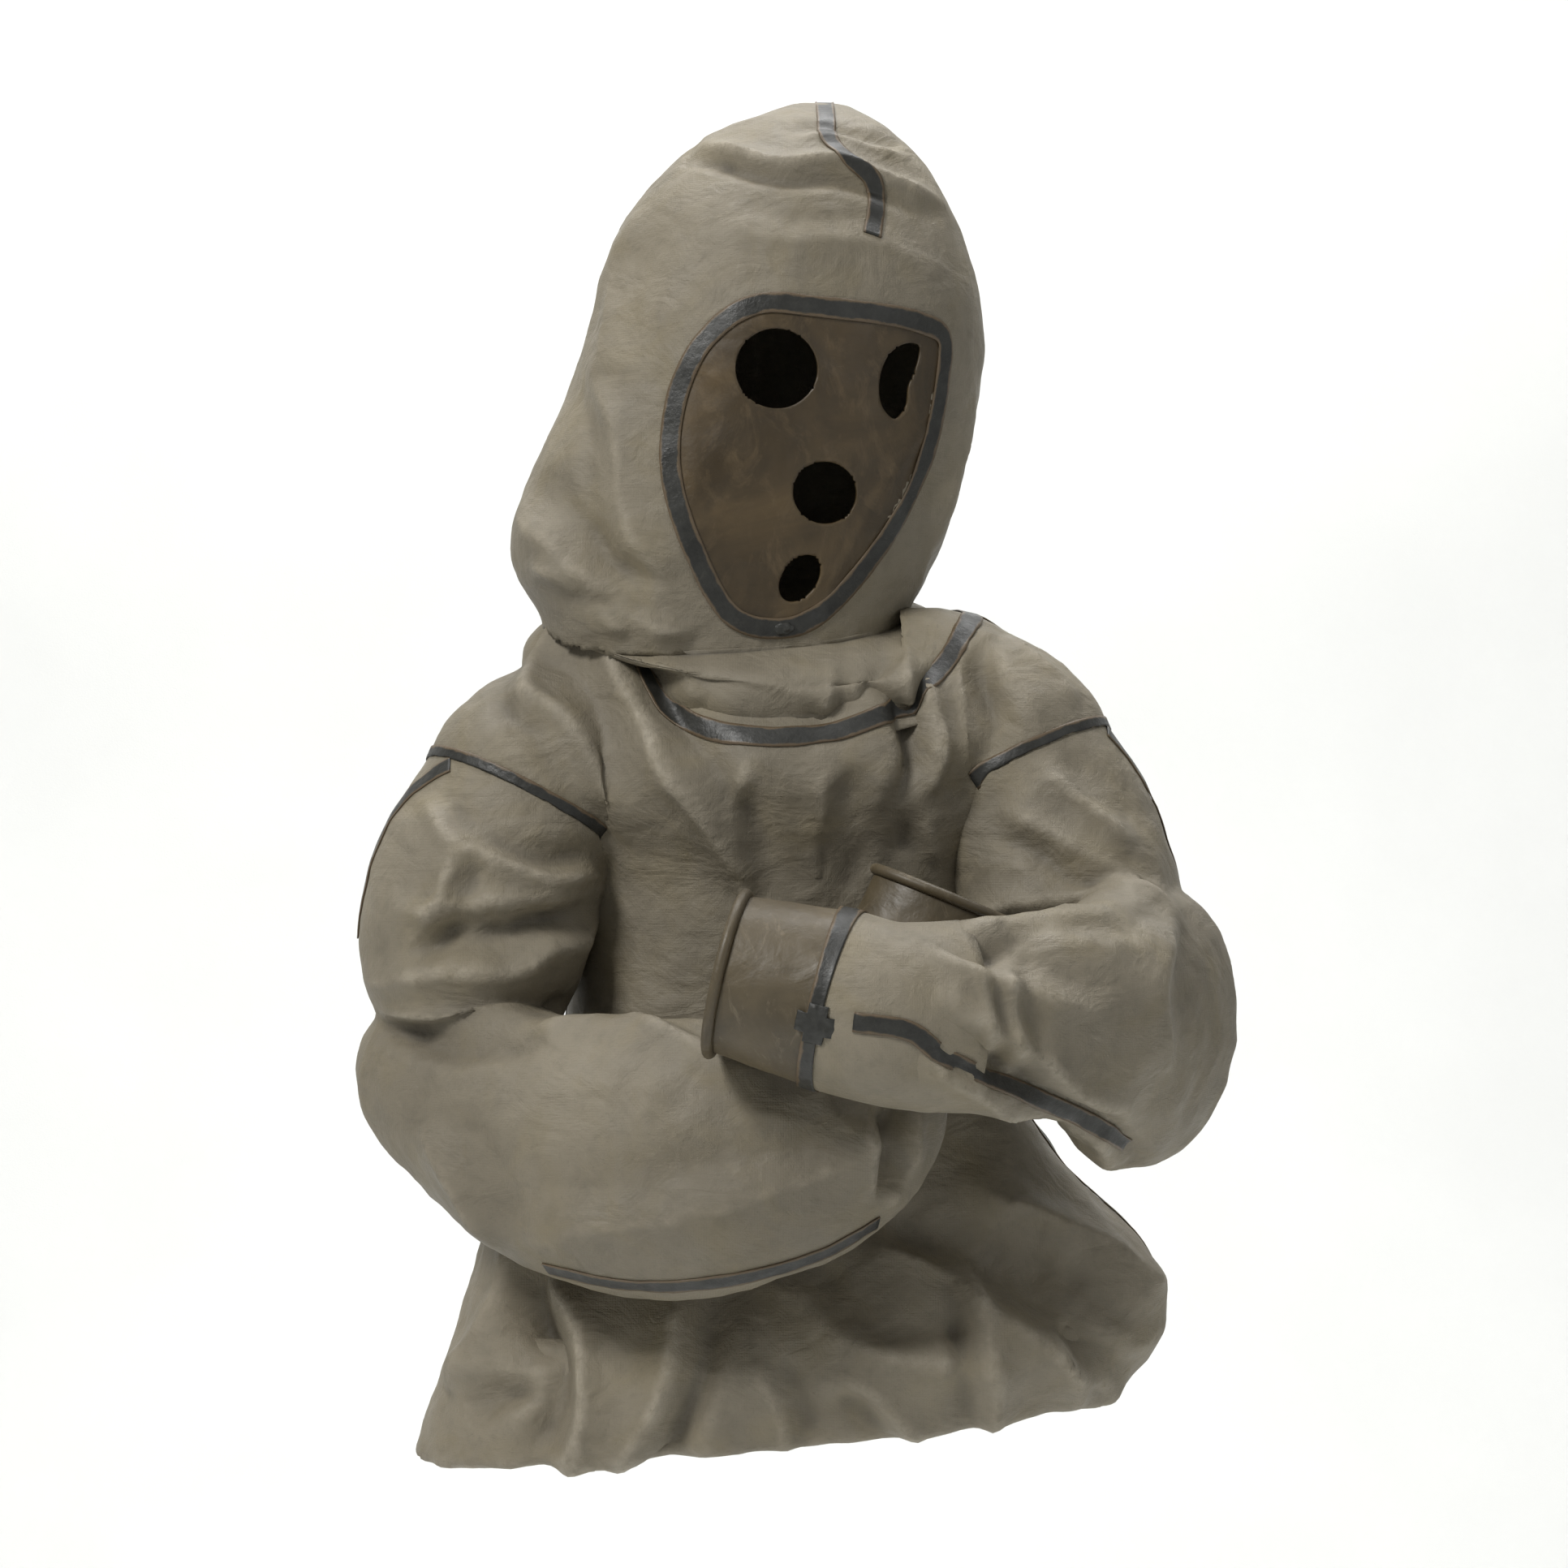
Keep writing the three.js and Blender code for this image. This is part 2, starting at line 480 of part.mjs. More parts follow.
// The rolled bead at a cuff's mouth: a short ring with a flat end.
function rimSolid(form, grow) {
  const depth = form.b.getPoint(1).x / form.a.getPoint(1).x;
  const low = CUFF_RADIUS - CLOTH_WALL + 1;
  const high = CUFF_RADIUS + RIM_THICKNESS;
  const profile = [[low, 0], [high, 0], [high, RIM_LENGTH], [low, RIM_LENGTH], [low, 0]];
  const ring = new THREE.LatheGeometry(profile.map(([r, y]) => new THREE.Vector2(r, y)), 24);
  ring.scale(1, 1, depth);
  const along = form.path.getTangent(1);
  const axisA = form.side.clone().addScaledVector(along, -form.side.dot(along)).normalize();
  const turn = new THREE.Matrix4().makeBasis(axisA, along, axisA.clone().cross(along));
  ring.applyMatrix4(turn);
  const place = form.path.getPoint(1).addScaledVector(along, grow);
  return solidOf(ring.translate(place.x, place.y, place.z));
}

// The patch over the crossing of the cuff's ring tape and the sleeve's seam tape.
const CROSS_REACH = 13;
function crossCutter(form, share, angle) {
  const long = shareOf(form, share, CROSS_REACH);
  const lengthwise = stripCutter(form, share - long, share + long, () => angle, TAPE_WIDTH + 1, 4);
  const across = stripCutter(form, share - long / 2, share + long / 2, () => angle, 2 * CROSS_REACH, 4);
  return lengthwise.add(across);
}

const sleeves = [
  { name: 'right', arm: rightArm, low: rightForearm, seam: (s) => -1.7 - 0.5 * (1 - s), back: (s) => -2.4 + 0.8 * s, cross: -2.2 },
  { name: 'left', arm: leftArm, low: leftForearm, seam: (s) => -0.9 + 0.65 * s, back: (s) => 2.0 - 0.5 * s, cross: -0.24 },
];
for (const { name, arm, low, seam, back, cross } of sleeves) {
  const { wrist, cuff, gap } = armShares(low);
  const seamGap = shareOf(arm, SEAM_SHARE, JOIN_GAP);
  const lowSolid = (grow, drawn = 0) => fill(low, 0, wrist, grow, { drawn });
  const upperSolid = (grow, drawn = 0) => fill(arm, SEAM_SHARE + seamGap, 1, grow, { drawn });
  const upperHollow = upperSolid(-CLOTH_WALL, OPEN_CUT);
  const beside = lowSolid(JOIN_GAP, JOIN_GAP).add(fill(torso, 0, 1, JOIN_GAP, { drawn: JOIN_GAP }));
  const upper = upperSolid(0).subtract(upperHollow).subtract(beside);
  addPiece(`${name}_upper_sleeve`, upper, 'canvas');
  const lower = lowSolid(0).subtract(lowSolid(-CLOTH_WALL, OPEN_CUT)).subtract(upperHollow);
  addPiece(`${name}_forearm_sleeve`, lower, 'canvas');
  const backStrip = stripCutter(arm, SEAM_SHARE + 0.03, 0.8, back, TAPE_WIDTH);
  const backTape = tapeLayer(upperSolid).intersect(backStrip).subtract(beside);
  addPiece(`${name}_elbow_tape`, backTape, 'tape');
  const seamStrip = stripCutter(low, 0.3, wrist - 0.02, seam, TAPE_WIDTH, 20);
  addPiece(`${name}_sleeve_seam_tape`, tapeLayer(lowSolid).intersect(seamStrip), 'tape');
  const band = tube(low, wrist + gap, cuff, CLOTH_WALL, 3).subtract(lowSolid(JOIN_GAP, JOIN_GAP));
  addPiece(`${name}_sleeve_band`, band, 'canvas');
  addPiece(`${name}_cuff`, tube(low, cuff + gap, 1, CLOTH_WALL, 3), 'rubber');
  const half = shareOf(low, cuff, TAPE_WIDTH / 2);
  const ringSolid = (grow, drawn) => fill(low, cuff - half, cuff + half, grow, { rows: 2, drawn });
  const under = fill(low, wrist + gap, cuff, JOIN_GAP, { rows: 3, drawn: OPEN_CUT })
    .add(fill(low, cuff + gap, 1, JOIN_GAP, { rows: 3, drawn: OPEN_CUT }));
  addPiece(`${name}_cuff_tape`, ringSolid(JOIN_GAP + TAPE_THICKNESS, 0).subtract(under), 'tape');
  const overRing = under.add(ringSolid(2 * JOIN_GAP + TAPE_THICKNESS, JOIN_GAP));
  const crossLayer = fill(low, wrist, 1, 2 * JOIN_GAP + 2 * TAPE_THICKNESS, { rows: 4 }).subtract(overRing);
  addPiece(`${name}_cross_patch`, crossLayer.intersect(crossCutter(low, cuff, cross)), 'tape');
  addPiece(`${name}_cuff_rim`, rimSolid(low, JOIN_GAP), 'rubber');
}

export default smock;
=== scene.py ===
"""Builds a hooded protective smock of heavy rubberised canvas, piece by piece.

Metres, +Z up. The front faces -Y and the wearer's right side is at -X. The origin is the
middle of the neck opening. The shapes are first written in millimetres above the hem, as a
tailor would measure them, and are set down in metres when a mesh is made.
"""

import math

import bmesh
import bpy
import numpy as np
from mathutils import Matrix, Vector, noise
from mathutils.bvhtree import BVHTree


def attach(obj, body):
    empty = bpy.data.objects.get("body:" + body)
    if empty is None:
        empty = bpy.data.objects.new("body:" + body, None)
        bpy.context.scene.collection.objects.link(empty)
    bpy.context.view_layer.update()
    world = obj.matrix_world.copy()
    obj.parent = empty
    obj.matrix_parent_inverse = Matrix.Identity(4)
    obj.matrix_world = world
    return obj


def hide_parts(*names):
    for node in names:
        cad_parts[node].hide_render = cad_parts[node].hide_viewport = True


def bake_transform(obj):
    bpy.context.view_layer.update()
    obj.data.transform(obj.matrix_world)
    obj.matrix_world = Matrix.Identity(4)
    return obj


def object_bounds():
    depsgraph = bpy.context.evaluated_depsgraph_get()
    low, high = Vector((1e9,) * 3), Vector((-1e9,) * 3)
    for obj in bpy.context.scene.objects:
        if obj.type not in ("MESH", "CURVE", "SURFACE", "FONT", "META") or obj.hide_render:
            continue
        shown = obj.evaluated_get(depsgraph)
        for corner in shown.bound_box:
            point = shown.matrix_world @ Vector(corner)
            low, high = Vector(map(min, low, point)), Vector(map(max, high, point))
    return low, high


bl_info = {
    "name": "Hooded Smock",
    "version": (1, 0, 0),
    "blender": (4, 5, 0),
    "location": "3D View > Sidebar > Smock",
    "description": "Builds a hooded protective smock of rubberised canvas, piece by piece",
    "category": "Add Mesh",
}

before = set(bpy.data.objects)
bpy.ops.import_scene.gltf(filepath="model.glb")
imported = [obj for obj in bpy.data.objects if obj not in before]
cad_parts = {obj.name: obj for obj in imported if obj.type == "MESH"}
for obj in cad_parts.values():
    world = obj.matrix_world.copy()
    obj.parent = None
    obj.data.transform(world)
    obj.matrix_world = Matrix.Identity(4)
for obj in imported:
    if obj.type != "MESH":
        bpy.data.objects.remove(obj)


def as_lists(bounds):
    """A box as plain lists of numbers."""
    return [[float(value) for value in corner] for corner in bounds]


CAD_BOX = as_lists(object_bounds())
NECK_HEIGHT = 560.0  # the origin's height over the hem
SMOCK_LENGTH = 615.0
SHOULDER_HEIGHT = 525.0
HOOD_BASE = 612.0
HOOD_HEIGHT = 345.0
HOOD_HALF_WIDTH = 130.0
HOOD_ANGLE = math.radians(22.0)
CUFF_RADIUS = 52.0
CUFF_LENGTH = 66.0
BAND_LENGTH = 44.0
ARMHOLE_SHARE = 3 / 7
MILLIMETRE = 0.001


# ---- Forms: oval sections along a smooth path ----


def unit(vector):
    return vector / max(np.linalg.norm(vector), 1e-9)


def along_curve(points, share, even):
    """The point at a share of a smooth curve through the points."""
    last = len(points) - 1
    place = share * last
    i = min(int(place), last - 1)
    w = place - i
    p1, p2 = points[i], points[i + 1]
    p0 = points[i - 1] if i > 0 else 2 * points[0] - points[1]
    p3 = points[i + 2] if i + 2 <= last else 2 * points[last] - points[last - 1]
    if even:
        t1, t2 = 0.5 * (p2 - p0), 0.5 * (p3 - p1)
    else:
        d0, d1, d2 = (max(np.linalg.norm(q - p), 1e-4) ** 0.5 for p, q in ((p0, p1), (p1, p2), (p2, p3)))
        t1 = ((p1 - p0) / d0 - (p2 - p0) / (d0 + d1) + (p2 - p1) / d1) * d1
        t2 = ((p2 - p1) / d1 - (p3 - p1) / (d1 + d2) + (p3 - p2) / d2) * d1
    return p1 + t1 * w + (3 * p2 - 3 * p1 - 2 * t1 - t2) * w**2 + (2 * p1 - 2 * p2 + t1 + t2) * w**3


class Form:
    """A row of oval sections. Each station is its centre, its half sizes and its tilt."""

    def __init__(self, stations, side, upright=False, power=2.0):
        self.path = np.array([s[0] for s in stations], float)
        self.sizes = np.array([(*s[1], *s[2]) for s in stations], float)
        self.tilts = np.array([s[3] if len(s) > 3 else (0, 0) for s in stations], float)
        self.side = np.array(side, float)
        self.upright = upright
        self.power = power

    def centre(self, v):
        return along_curve(self.path, min(max(v, 0.0), 1.0), False)

    def direction(self, v):
        if self.upright:
            return np.array((0.0, 0.0, 1.0))
        return unit(self.centre(v + 1e-4) - self.centre(v - 1e-4))

    def ring(self, v, angles, grow=0.0):
        """Points of the section at a share of the path, for an array of angles."""
        centre, along = self.centre(v), self.direction(v)
        share = min(max(v, 0.0), 1.0)
        a_low, a_high, b_low, b_high = along_curve(self.sizes, share, True) + grow
        tilt = along_curve(self.tilts, share, True)
        side = unit(self.side - along * self.side.dot(along))
        other = np.cross(side, along)
        sine, cosine = np.sin(angles), np.cos(angles)
        x = np.sign(sine) * np.abs(sine) ** (2 / self.power)
        z = np.sign(cosine) * np.abs(cosine) ** (2 / self.power)
        points = centre + np.outer(x * np.where(x < 0, a_low, a_high), side)
        points = points + np.outer(z * np.where(z < 0, b_low, b_high), other)
        points[:, 2] += (points[:, :2] - centre[:2]) @ tilt
        return points


def lowered(drop):
    return SHOULDER_HEIGHT - drop


def hood_up(share):
    return HOOD_BASE + share * HOOD_HEIGHT


TORSO = Form([
    ((-14, 0, 32), (246, 246), (126, 138), (0.09, 0)),
    ((14, 0, 95), (246, 252), (132, 150), (0.04, 0)),
    ((16, 0, 160), (226, 232), (132, 110)),
    ((0, 0, 215), (196, 196), (132, 98)),
    ((0, 0, lowered(250)), (156, 156), (128, 94)),
    ((0, 0, lowered(110)), (150, 150), (128, 104)),
    ((0, 0, lowered(38)), (158, 156), (124, 138)),
    ((0, 0, lowered(-8)), (164, 158), (116, 116)),
    ((0, 0, lowered(-45)), (186, 168), (98, 88)),
    ((0, 0, lowered(-72)), (166, 140), (80, 60)),
    ((-14, 0, SMOCK_LENGTH - 8), (108, 76), (46, 34)),
], (1, 0, 0), upright=True, power=2.3)


def arm_form(sign, armhole, lean, elbow, radius):
    """An arm from inside the torso over the dropped shoulder down to the elbow."""
    seam, lean = np.array(armhole, float), unit(np.array(lean, float))
    rows = [
        ((sign * 80, 12, lowered(-12)), radius - 22),
        ((seam[0] - sign * 36, 0.4 * seam[1], seam[2] + 38), radius - 6),
        (seam - 24 * lean, radius),
        (seam, radius),
        (seam + 24 * lean, radius),
        (elbow[0], radius + 3),
        (elbow[1], radius - 5),
        (elbow[2], radius - 34),
    ]
    return Form([(at, (r, r), (r, r)) for at, r in rows], (1, 0, 0))


RIGHT_SEAM, RIGHT_LEAN = np.array((-180.0, -40.0, lowered(62))), unit(np.array((-0.46, -0.2, -0.86)))
LEFT_SEAM, LEFT_LEAN = np.array((162.0, -28.0, lowered(40))), unit(np.array((0.46, -0.2, -0.86)))
RIGHT_ARM = arm_form(-1, RIGHT_SEAM, RIGHT_LEAN, [(-208, -58, lowered(125)), (-216, -66, lowered(180)),
                                                  (-216, -72, lowered(236))], 76)
LEFT_ARM = arm_form(1, LEFT_SEAM, LEFT_LEAN, [(190, -46, lowered(102)), (208, -62, lowered(150)),
                                              (220, -76, lowered(192))], 73)


def forearm_form(rows, start, end, depth):
    """A forearm from the elbow to the cuff's mouth. The last stations are wrist, cuff and mouth."""
    start, along = np.array(start, float), unit(np.array(end, float) - np.array(start, float))
    stations = [((x, y, lowered(drop)), (high, high), (deep, deep)) for x, y, drop, high, deep in rows]
    for reach, radius in ((-BAND_LENGTH, CUFF_RADIUS + 7), (0, CUFF_RADIUS + 6), (CUFF_LENGTH, CUFF_RADIUS)):
        stations.append((start + reach * along, (radius, radius), (radius * depth, radius * depth)))
    return Form(stations, (0, 0, 1))


RIGHT_FOREARM = forearm_form([
    (-284, -30, 236, 24, 20), (-262, -48, 240, 48, 44), (-223, -80, 254, 65, 60),
    (-152, -142, 284, 87, 66), (-58, -188, 292, 92, 64), (16, -188, 284, 72, 54), (64, -170, 246, 58, 42),
], (84, -150, lowered(184)), (108, -147, lowered(126)), 0.7)
LEFT_FOREARM = forearm_form([
    (287, -40, 186, 34, 24), (270, -62, 186, 72, 46), (240, -108, 205, 100, 54), (190, -222, 194, 70, 46),
], (30, -276, lowered(182)), (-46, -266, lowered(164)), 0.9)

HOOD_SIDE = (math.cos(HOOD_ANGLE), math.sin(HOOD_ANGLE), 0)
FOOT = ((146, 112), (120, 98), (0, 0.3))
SKIRT = Form([
    ((11, -26, NECK_HEIGHT + 6), (111, 111), (106, 92), (0, 0.4)),
    ((4, -24, NECK_HEIGHT + 22), (118, 118), (116, 106), (0, 0.34)),
    ((-10, -12, NECK_HEIGHT + 32), (134, 118), (124, 112), (0, 0.3)),
    ((-24, 4, HOOD_BASE - 10), *FOOT),
], HOOD_SIDE, upright=True, power=2.15)


def hood_wide(right, left):
    return (right * HOOD_HALF_WIDTH, left * HOOD_HALF_WIDTH)


HOOD = Form([
    ((-24, 4, HOOD_BASE - 10), *FOOT),
    ((-20, 4, hood_up(0.1)), hood_wide(1.32, 0.97), (150, 108), (0, 0.18)),
    ((-12, 3, hood_up(0.25)), hood_wide(1.27, 1.07), (146, 118), (0, 0.06)),
    ((-2, 2, hood_up(0.43)), hood_wide(1.14, 1.07), (136, 124)),
    ((6, 0, hood_up(0.6)), hood_wide(1.04, 1.01), (126, 118)),
    ((12, 0, hood_up(0.76)), hood_wide(0.95, 0.84), (114, 102)),
    ((18, 4, hood_up(0.88)), hood_wide(0.74, 0.6), (96, 78)),
    ((22, 8, hood_up(0.96)), hood_wide(0.46, 0.36), (66, 48)),
    ((24, 10, hood_up(1)), hood_wide(0.16, 0.14), (30, 20)),
], HOOD_SIDE, upright=True, power=2.15)


# ---- Folds: ridges and valleys pressed into the cloth, as lines over width and height ----

# Each fold is its side of the smock (-1 front, 1 back), its line in x and height, its width, its
# height and how deep the valley beside it lies (its sign chooses the side).
BODY_FOLDS = [
    (-1, [(-158, 612), (-118, 570), (-80, 500), (-14, 405)], 12, 11, 0.8),
    (-1, [(-190, 560), (-150, 520), (-120, 470), (-100, 420)], 13, 8, -0.7),
    (-1, [(98, 560), (102, 500), (98, 430)], 9, 9, -1.6),
    (-1, [(128, 575), (122, 520), (128, 440)], 9, 7, 0.9),
    (-1, [(28, 500), (22, 455), (34, 400)], 9, 4, 0.7),
    (-1, [(66, 500), (62, 450), (52, 400)], 9, 3.5, -0.8),
    (-1, [(-30, 500), (-34, 450), (-20, 400)], 9, 3.5, 0.7),
    (-1, [(-170, 606), (-205, 580), (-235, 545)], 8, 5, 0.8),
    (-1, [(-150, 600), (-172, 560), (-178, 520)], 9, 5, -0.8),
    (-1, [(150, 580), (180, 560), (205, 535)], 9, 4, 0.8),
    (-1, [(120, 590), (160, 545), (175, 500)], 10, 5, -0.7),
    (-1, [(-205, 215), (-190, 150), (-204, 100), (-232, 60)], 14, 11, 0.9),
    (-1, [(-170, 160), (-140, 110), (-132, 60), (-150, 6)], 14, 12, -1.0),
    (-1, [(-60, 150), (-72, 100), (-94, 50), (-120, 10)], 13, 10, 1.0),
    (-1, [(-10, 150), (30, 112), (96, 92), (150, 88)], 12, 6, 0.8),
    (-1, [(60, 170), (110, 140), (180, 96), (236, 56)], 14, 11, 0.9),
    (-1, [(120, 210), (180, 176), (236, 150), (272, 124)], 14, 10, -0.9),
    (-1, [(95, 190), (132, 130), (142, 70), (134, 40)], 11, 7, -0.9),
    (-1, [(180, 110), (196, 76), (202, 48)], 10, 5, 0.9),
    (-1, [(-20, 96), (-6, 60), (4, 30)], 10, 5, 0.9),
    (-1, [(-228, 60), (-200, 84), (-160, 84)], 9, 5, -0.8),
    (-1, [(30, 84), (70, 60), (100, 36)], 10, 5, -0.9),
    (1, [(-120, 560), (-70, 500), (-60, 380), (-80, 250)], 18, 9, 0.8),
    (1, [(110, 560), (80, 480), (90, 360), (70, 240)], 18, 9, -0.8),
    (1, [(0, 560), (10, 440), (-12, 300), (8, 190)], 16, 6, 0.8),
    (1, [(-190, 240), (-130, 180), (-90, 110), (-100, 40)], 16, 10, -0.9),
    (1, [(190, 240), (140, 170), (90, 120), (110, 40)], 16, 10, 0.9),
    (1, [(-30, 220), (0, 150), (-10, 60)], 14, 7, 0.9),
    (1, [(-150, 330), (-40, 300), (60, 320), (150, 300)], 16, 7, 0.7),
    (1, [(-160, 260), (-60, 236), (70, 250), (170, 232)], 14, 7, -0.7),
]
HOOD_FOLDS = [
    (-1, [(-62, 930), (-20, 910), (40, 903), (114, 878)], 7, 6, -1.0),
    (-1, [(0, 918), (40, 921), (84, 918)], 6, 4, 0.8),
    (-1, [(-40, 860), (0, 848), (60, 850), (110, 838)], 9, 2.5, 0.7),
    (-1, [(-186, 684), (-150, 640), (-108, 604), (-60, 584)], 12, 9, 0.8),
    (-1, [(-130, 780), (-112, 700), (-96, 640), (-70, 600)], 12, 6, -0.7),
    (-1, [(-170, 640), (-140, 612), (-110, 590)], 10, 6, 0.8),
    (-1, [(132, 760), (112, 690), (92, 640), (96, 600)], 10, 7, 0.8),
    (-1, [(120, 700), (104, 650), (110, 610)], 9, 5, -0.7),
    (-1, [(-100, 880), (-120, 820), (-118, 760)], 12, 4, 0.7),
    (1, [(-40, 930), (-20, 800), (-30, 700), (-10, 620)], 15, 7, 0.8),
    (1, [(-140, 760), (-90, 680), (-40, 630), (20, 620)], 14, 8, -0.8),
    (1, [(110, 800), (70, 720), (50, 640)], 14, 7, 0.8),
    (1, [(-100, 860), (-10, 830), (90, 850)], 12, 5, 0.7),
]
SKIRT_FOLDS = [
    (-1, [(-130, 594), (-70, 577), (-20, 572), (40, 577), (90, 594)], 11, 15, -0.8),
    (-1, [(92, 606), (84, 570), (74, 520)], 9, 10, -0.9),
    (-1, [(-60, 575), (-30, 556), (10, 546)], 8, 4, -0.8),
    (-1, [(20, 575), (30, 552), (20, 530)], 8, 4, 0.8),
    (-1, [(-96, 580), (-70, 556), (-50, 536)], 8, 5, 0.8),
    (1, [(-100, 620), (0, 640), (90, 625)], 10, 6, 0.8),
]
RIGHT_SLEEVE_FOLDS = [
    (-1, [(-286, 352), (-220, 352), (-150, 372), (-96, 400)], 11, 8, 0.8),
    (-1, [(-272, 400), (-200, 398), (-140, 402), (-104, 410)], 9, 6, -0.8),
    (-1, [(-250, 470), (-220, 440), (-170, 420), (-116, 416)], 10, 6, 0.8),
    (-1, [(-205, 310), (-140, 322), (-96, 326), (-60, 306), (0, 286)], 8, 6, 0.9),
    (-1, [(-270, 330), (-215, 322), (-160, 330)], 9, 8, -1.0),
    (-1, [(-240, 260), (-215, 215), (-196, 170)], 12, 7, 0.8),
    (-1, [(-190, 180), (-120, 190), (-60, 204), (20, 226), (72, 262)], 16, 5, 0.7),
    (-1, [(60, 290), (48, 240), (60, 200)], 9, 7, 0.8),
    (-1, [(84, 270), (78, 232), (66, 196)], 8, 6, -0.8),
    (-1, [(20, 292), (34, 262), (66, 236)], 9, 5, 0.8),
    (-1, [(-225, 440), (-232, 400), (-262, 360)], 9, 5, 0.8),
    (1, [(-250, 440), (-220, 380), (-240, 300)], 14, 8, 0.8),
    (1, [(-270, 330), (-220, 300), (-170, 310)], 12, 7, 0.8),
]
LEFT_SLEEVE_FOLDS = [
    (-1, [(70, 400), (96, 372), (150, 352), (220, 330)], 10, 6, 0.8),
    (-1, [(90, 350), (140, 322), (190, 286), (236, 268)], 10, 7, -0.8),
    (-1, [(84, 316), (120, 288), (170, 262), (220, 244)], 9, 7, 0.8),
    (-1, [(104, 392), (150, 396), (210, 408), (262, 412)], 9, 5, -0.8),
    (-1, [(120, 372), (128, 330), (118, 290)], 7, 4, 0.8),
    (-1, [(142, 372), (148, 330), (142, 290)], 7, 4, 0.8),
    (-1, [(256, 400), (246, 340), (258, 290)], 10, 5, 0.8),
    (-1, [(206, 250), (222, 228), (220, 208)], 8, 6, 0.8),
    (-1, [(170, 500), (200, 470), (240, 440)], 10, 6, 0.8),
    (-1, [(150, 470), (190, 440), (236, 420)], 9, 5, -0.8),
    (1, [(200, 480), (220, 400), (200, 320)], 14, 8, 0.8),
    (1, [(160, 420), (220, 380), (270, 360)], 12, 7, -0.8),
]


def line_distance(points, line):
    """Signed distances in x and height from a bent line, and the share of it that is nearest."""
    best = np.full(len(points), 1e9)
    signed = np.zeros(len(points))
    share = np.zeros(len(points))
    count = len(line) - 1
    for i in range(count):
        start, run = np.array(line[i], float), np.array(line[i + 1], float) - np.array(line[i], float)
        offset = points - start
        t = np.clip(offset @ run / run.dot(run), 0, 1)
        away = offset - np.outer(t, run)
        distance = np.hypot(away[:, 0], away[:, 1])
        near = distance < best
        best[near] = distance[near]
        turn = run[0] * offset[:, 1] - run[1] * offset[:, 0]
        signed[near] = (np.sign(turn) * distance)[near]
        share[near] = ((i + t) / count)[near]
    return signed, share


def smooth_line(line, count=14):
    points = [np.array(p, float) for p in line]
    return [along_curve(points, i / count, False) for i in range(count + 1)]


def fold_height(places, normals, folds, wander=9.0):
    """How far each point of the cloth stands out, in millimetres, for the folds pressed into it."""
    drift = np.array([noise.noise_vector(Vector(p) / 55) for p in places])
    flat = places[:, [0, 2]] + wander * drift[:, [0, 2]]
    height = np.zeros(len(places))
    for side, line, width, rise, valley in folds:
        signed, share = line_distance(flat, smooth_line(line))
        facing = np.clip(2.2 * side * normals[:, 1] + 0.15, 0, 1)
        taper = np.clip(np.minimum(share, 1 - share) * 5, 0, 1) ** 0.7
        d = signed / width
        ridge = np.exp(-np.abs(d) ** 1.25)
        trough = np.exp(-(d - np.sign(valley) * 1.7) ** 2)
        height += 1.35 * rise * facing * taper * (ridge - abs(valley) * trough)
    return height


def crumple(places, size, amount, stretch=(1.0, 1.0, 1.0)):
    """Sharp irregular creases over the whole cloth, in millimetres."""
    scale = np.array(stretch) / size
    return amount * np.array([
        1.2 - 2 * noise.turbulence(Vector(p * scale), 3, True, noise_basis="PERLIN_ORIGINAL") for p in places
    ])


# ---- Meshes ----


def set_down(point):
    """A point in millimetres above the hem as one in metres from the neck opening."""
    return Vector((point[0], point[1], point[2] - NECK_HEIGHT)) * MILLIMETRE


def pick_up(points):
    """Points in metres from the neck opening as millimetres above the hem."""
    return np.array(points, float) / MILLIMETRE + np.array((0, 0, NECK_HEIGHT))


def loft(form, low, high, rows, around, grow=0.0, drawn=(0.0, 0.0), capped=False):
    """A tube over a form, from one share of its path to another, with its ends drawn out."""
    bm = bmesh.new()
    bm.loops.layers.uv.new("UVMap")
    bmesh.ops.create_grid(bm, x_segments=around, y_segments=rows, size=1.0, calc_uvs=True)
    levels = {}
    for vert in bm.verts:
        levels.setdefault(round((vert.co.y + 1) * 5000), []).append(vert)
    keys = sorted(levels)
    below, above = int(drawn[0] > 0), int(drawn[1] > 0)
    last = len(keys) - 1
    for row, key in enumerate(keys):
        share = min(max((row - below) / (last - below - above), 0), 1)
        v = low + (high - low) * share
        verts = levels[key]
        points = form.ring(v, np.array([math.pi * vert.co.x for vert in verts]), grow)
        reach = (drawn[1] if row == last else 0) - (drawn[0] if row == 0 else 0)
        points = points + reach * form.direction(v)
        for vert, point in zip(verts, points):
            vert.co = set_down(point)
    bmesh.ops.remove_doubles(bm, verts=bm.verts, dist=1e-6)
    if capped:
        bmesh.ops.holes_fill(bm, edges=[e for e in bm.edges if e.is_boundary], sides=0)
    bmesh.ops.recalc_face_normals(bm, faces=bm.faces)
    return bm


def new_object(name, bm):
    mesh = bpy.data.meshes.new(name)
    bm.to_mesh(mesh)
    bm.free()
    obj = bpy.data.objects.new(name, mesh)
    bpy.context.scene.collection.objects.link(obj)
    return obj


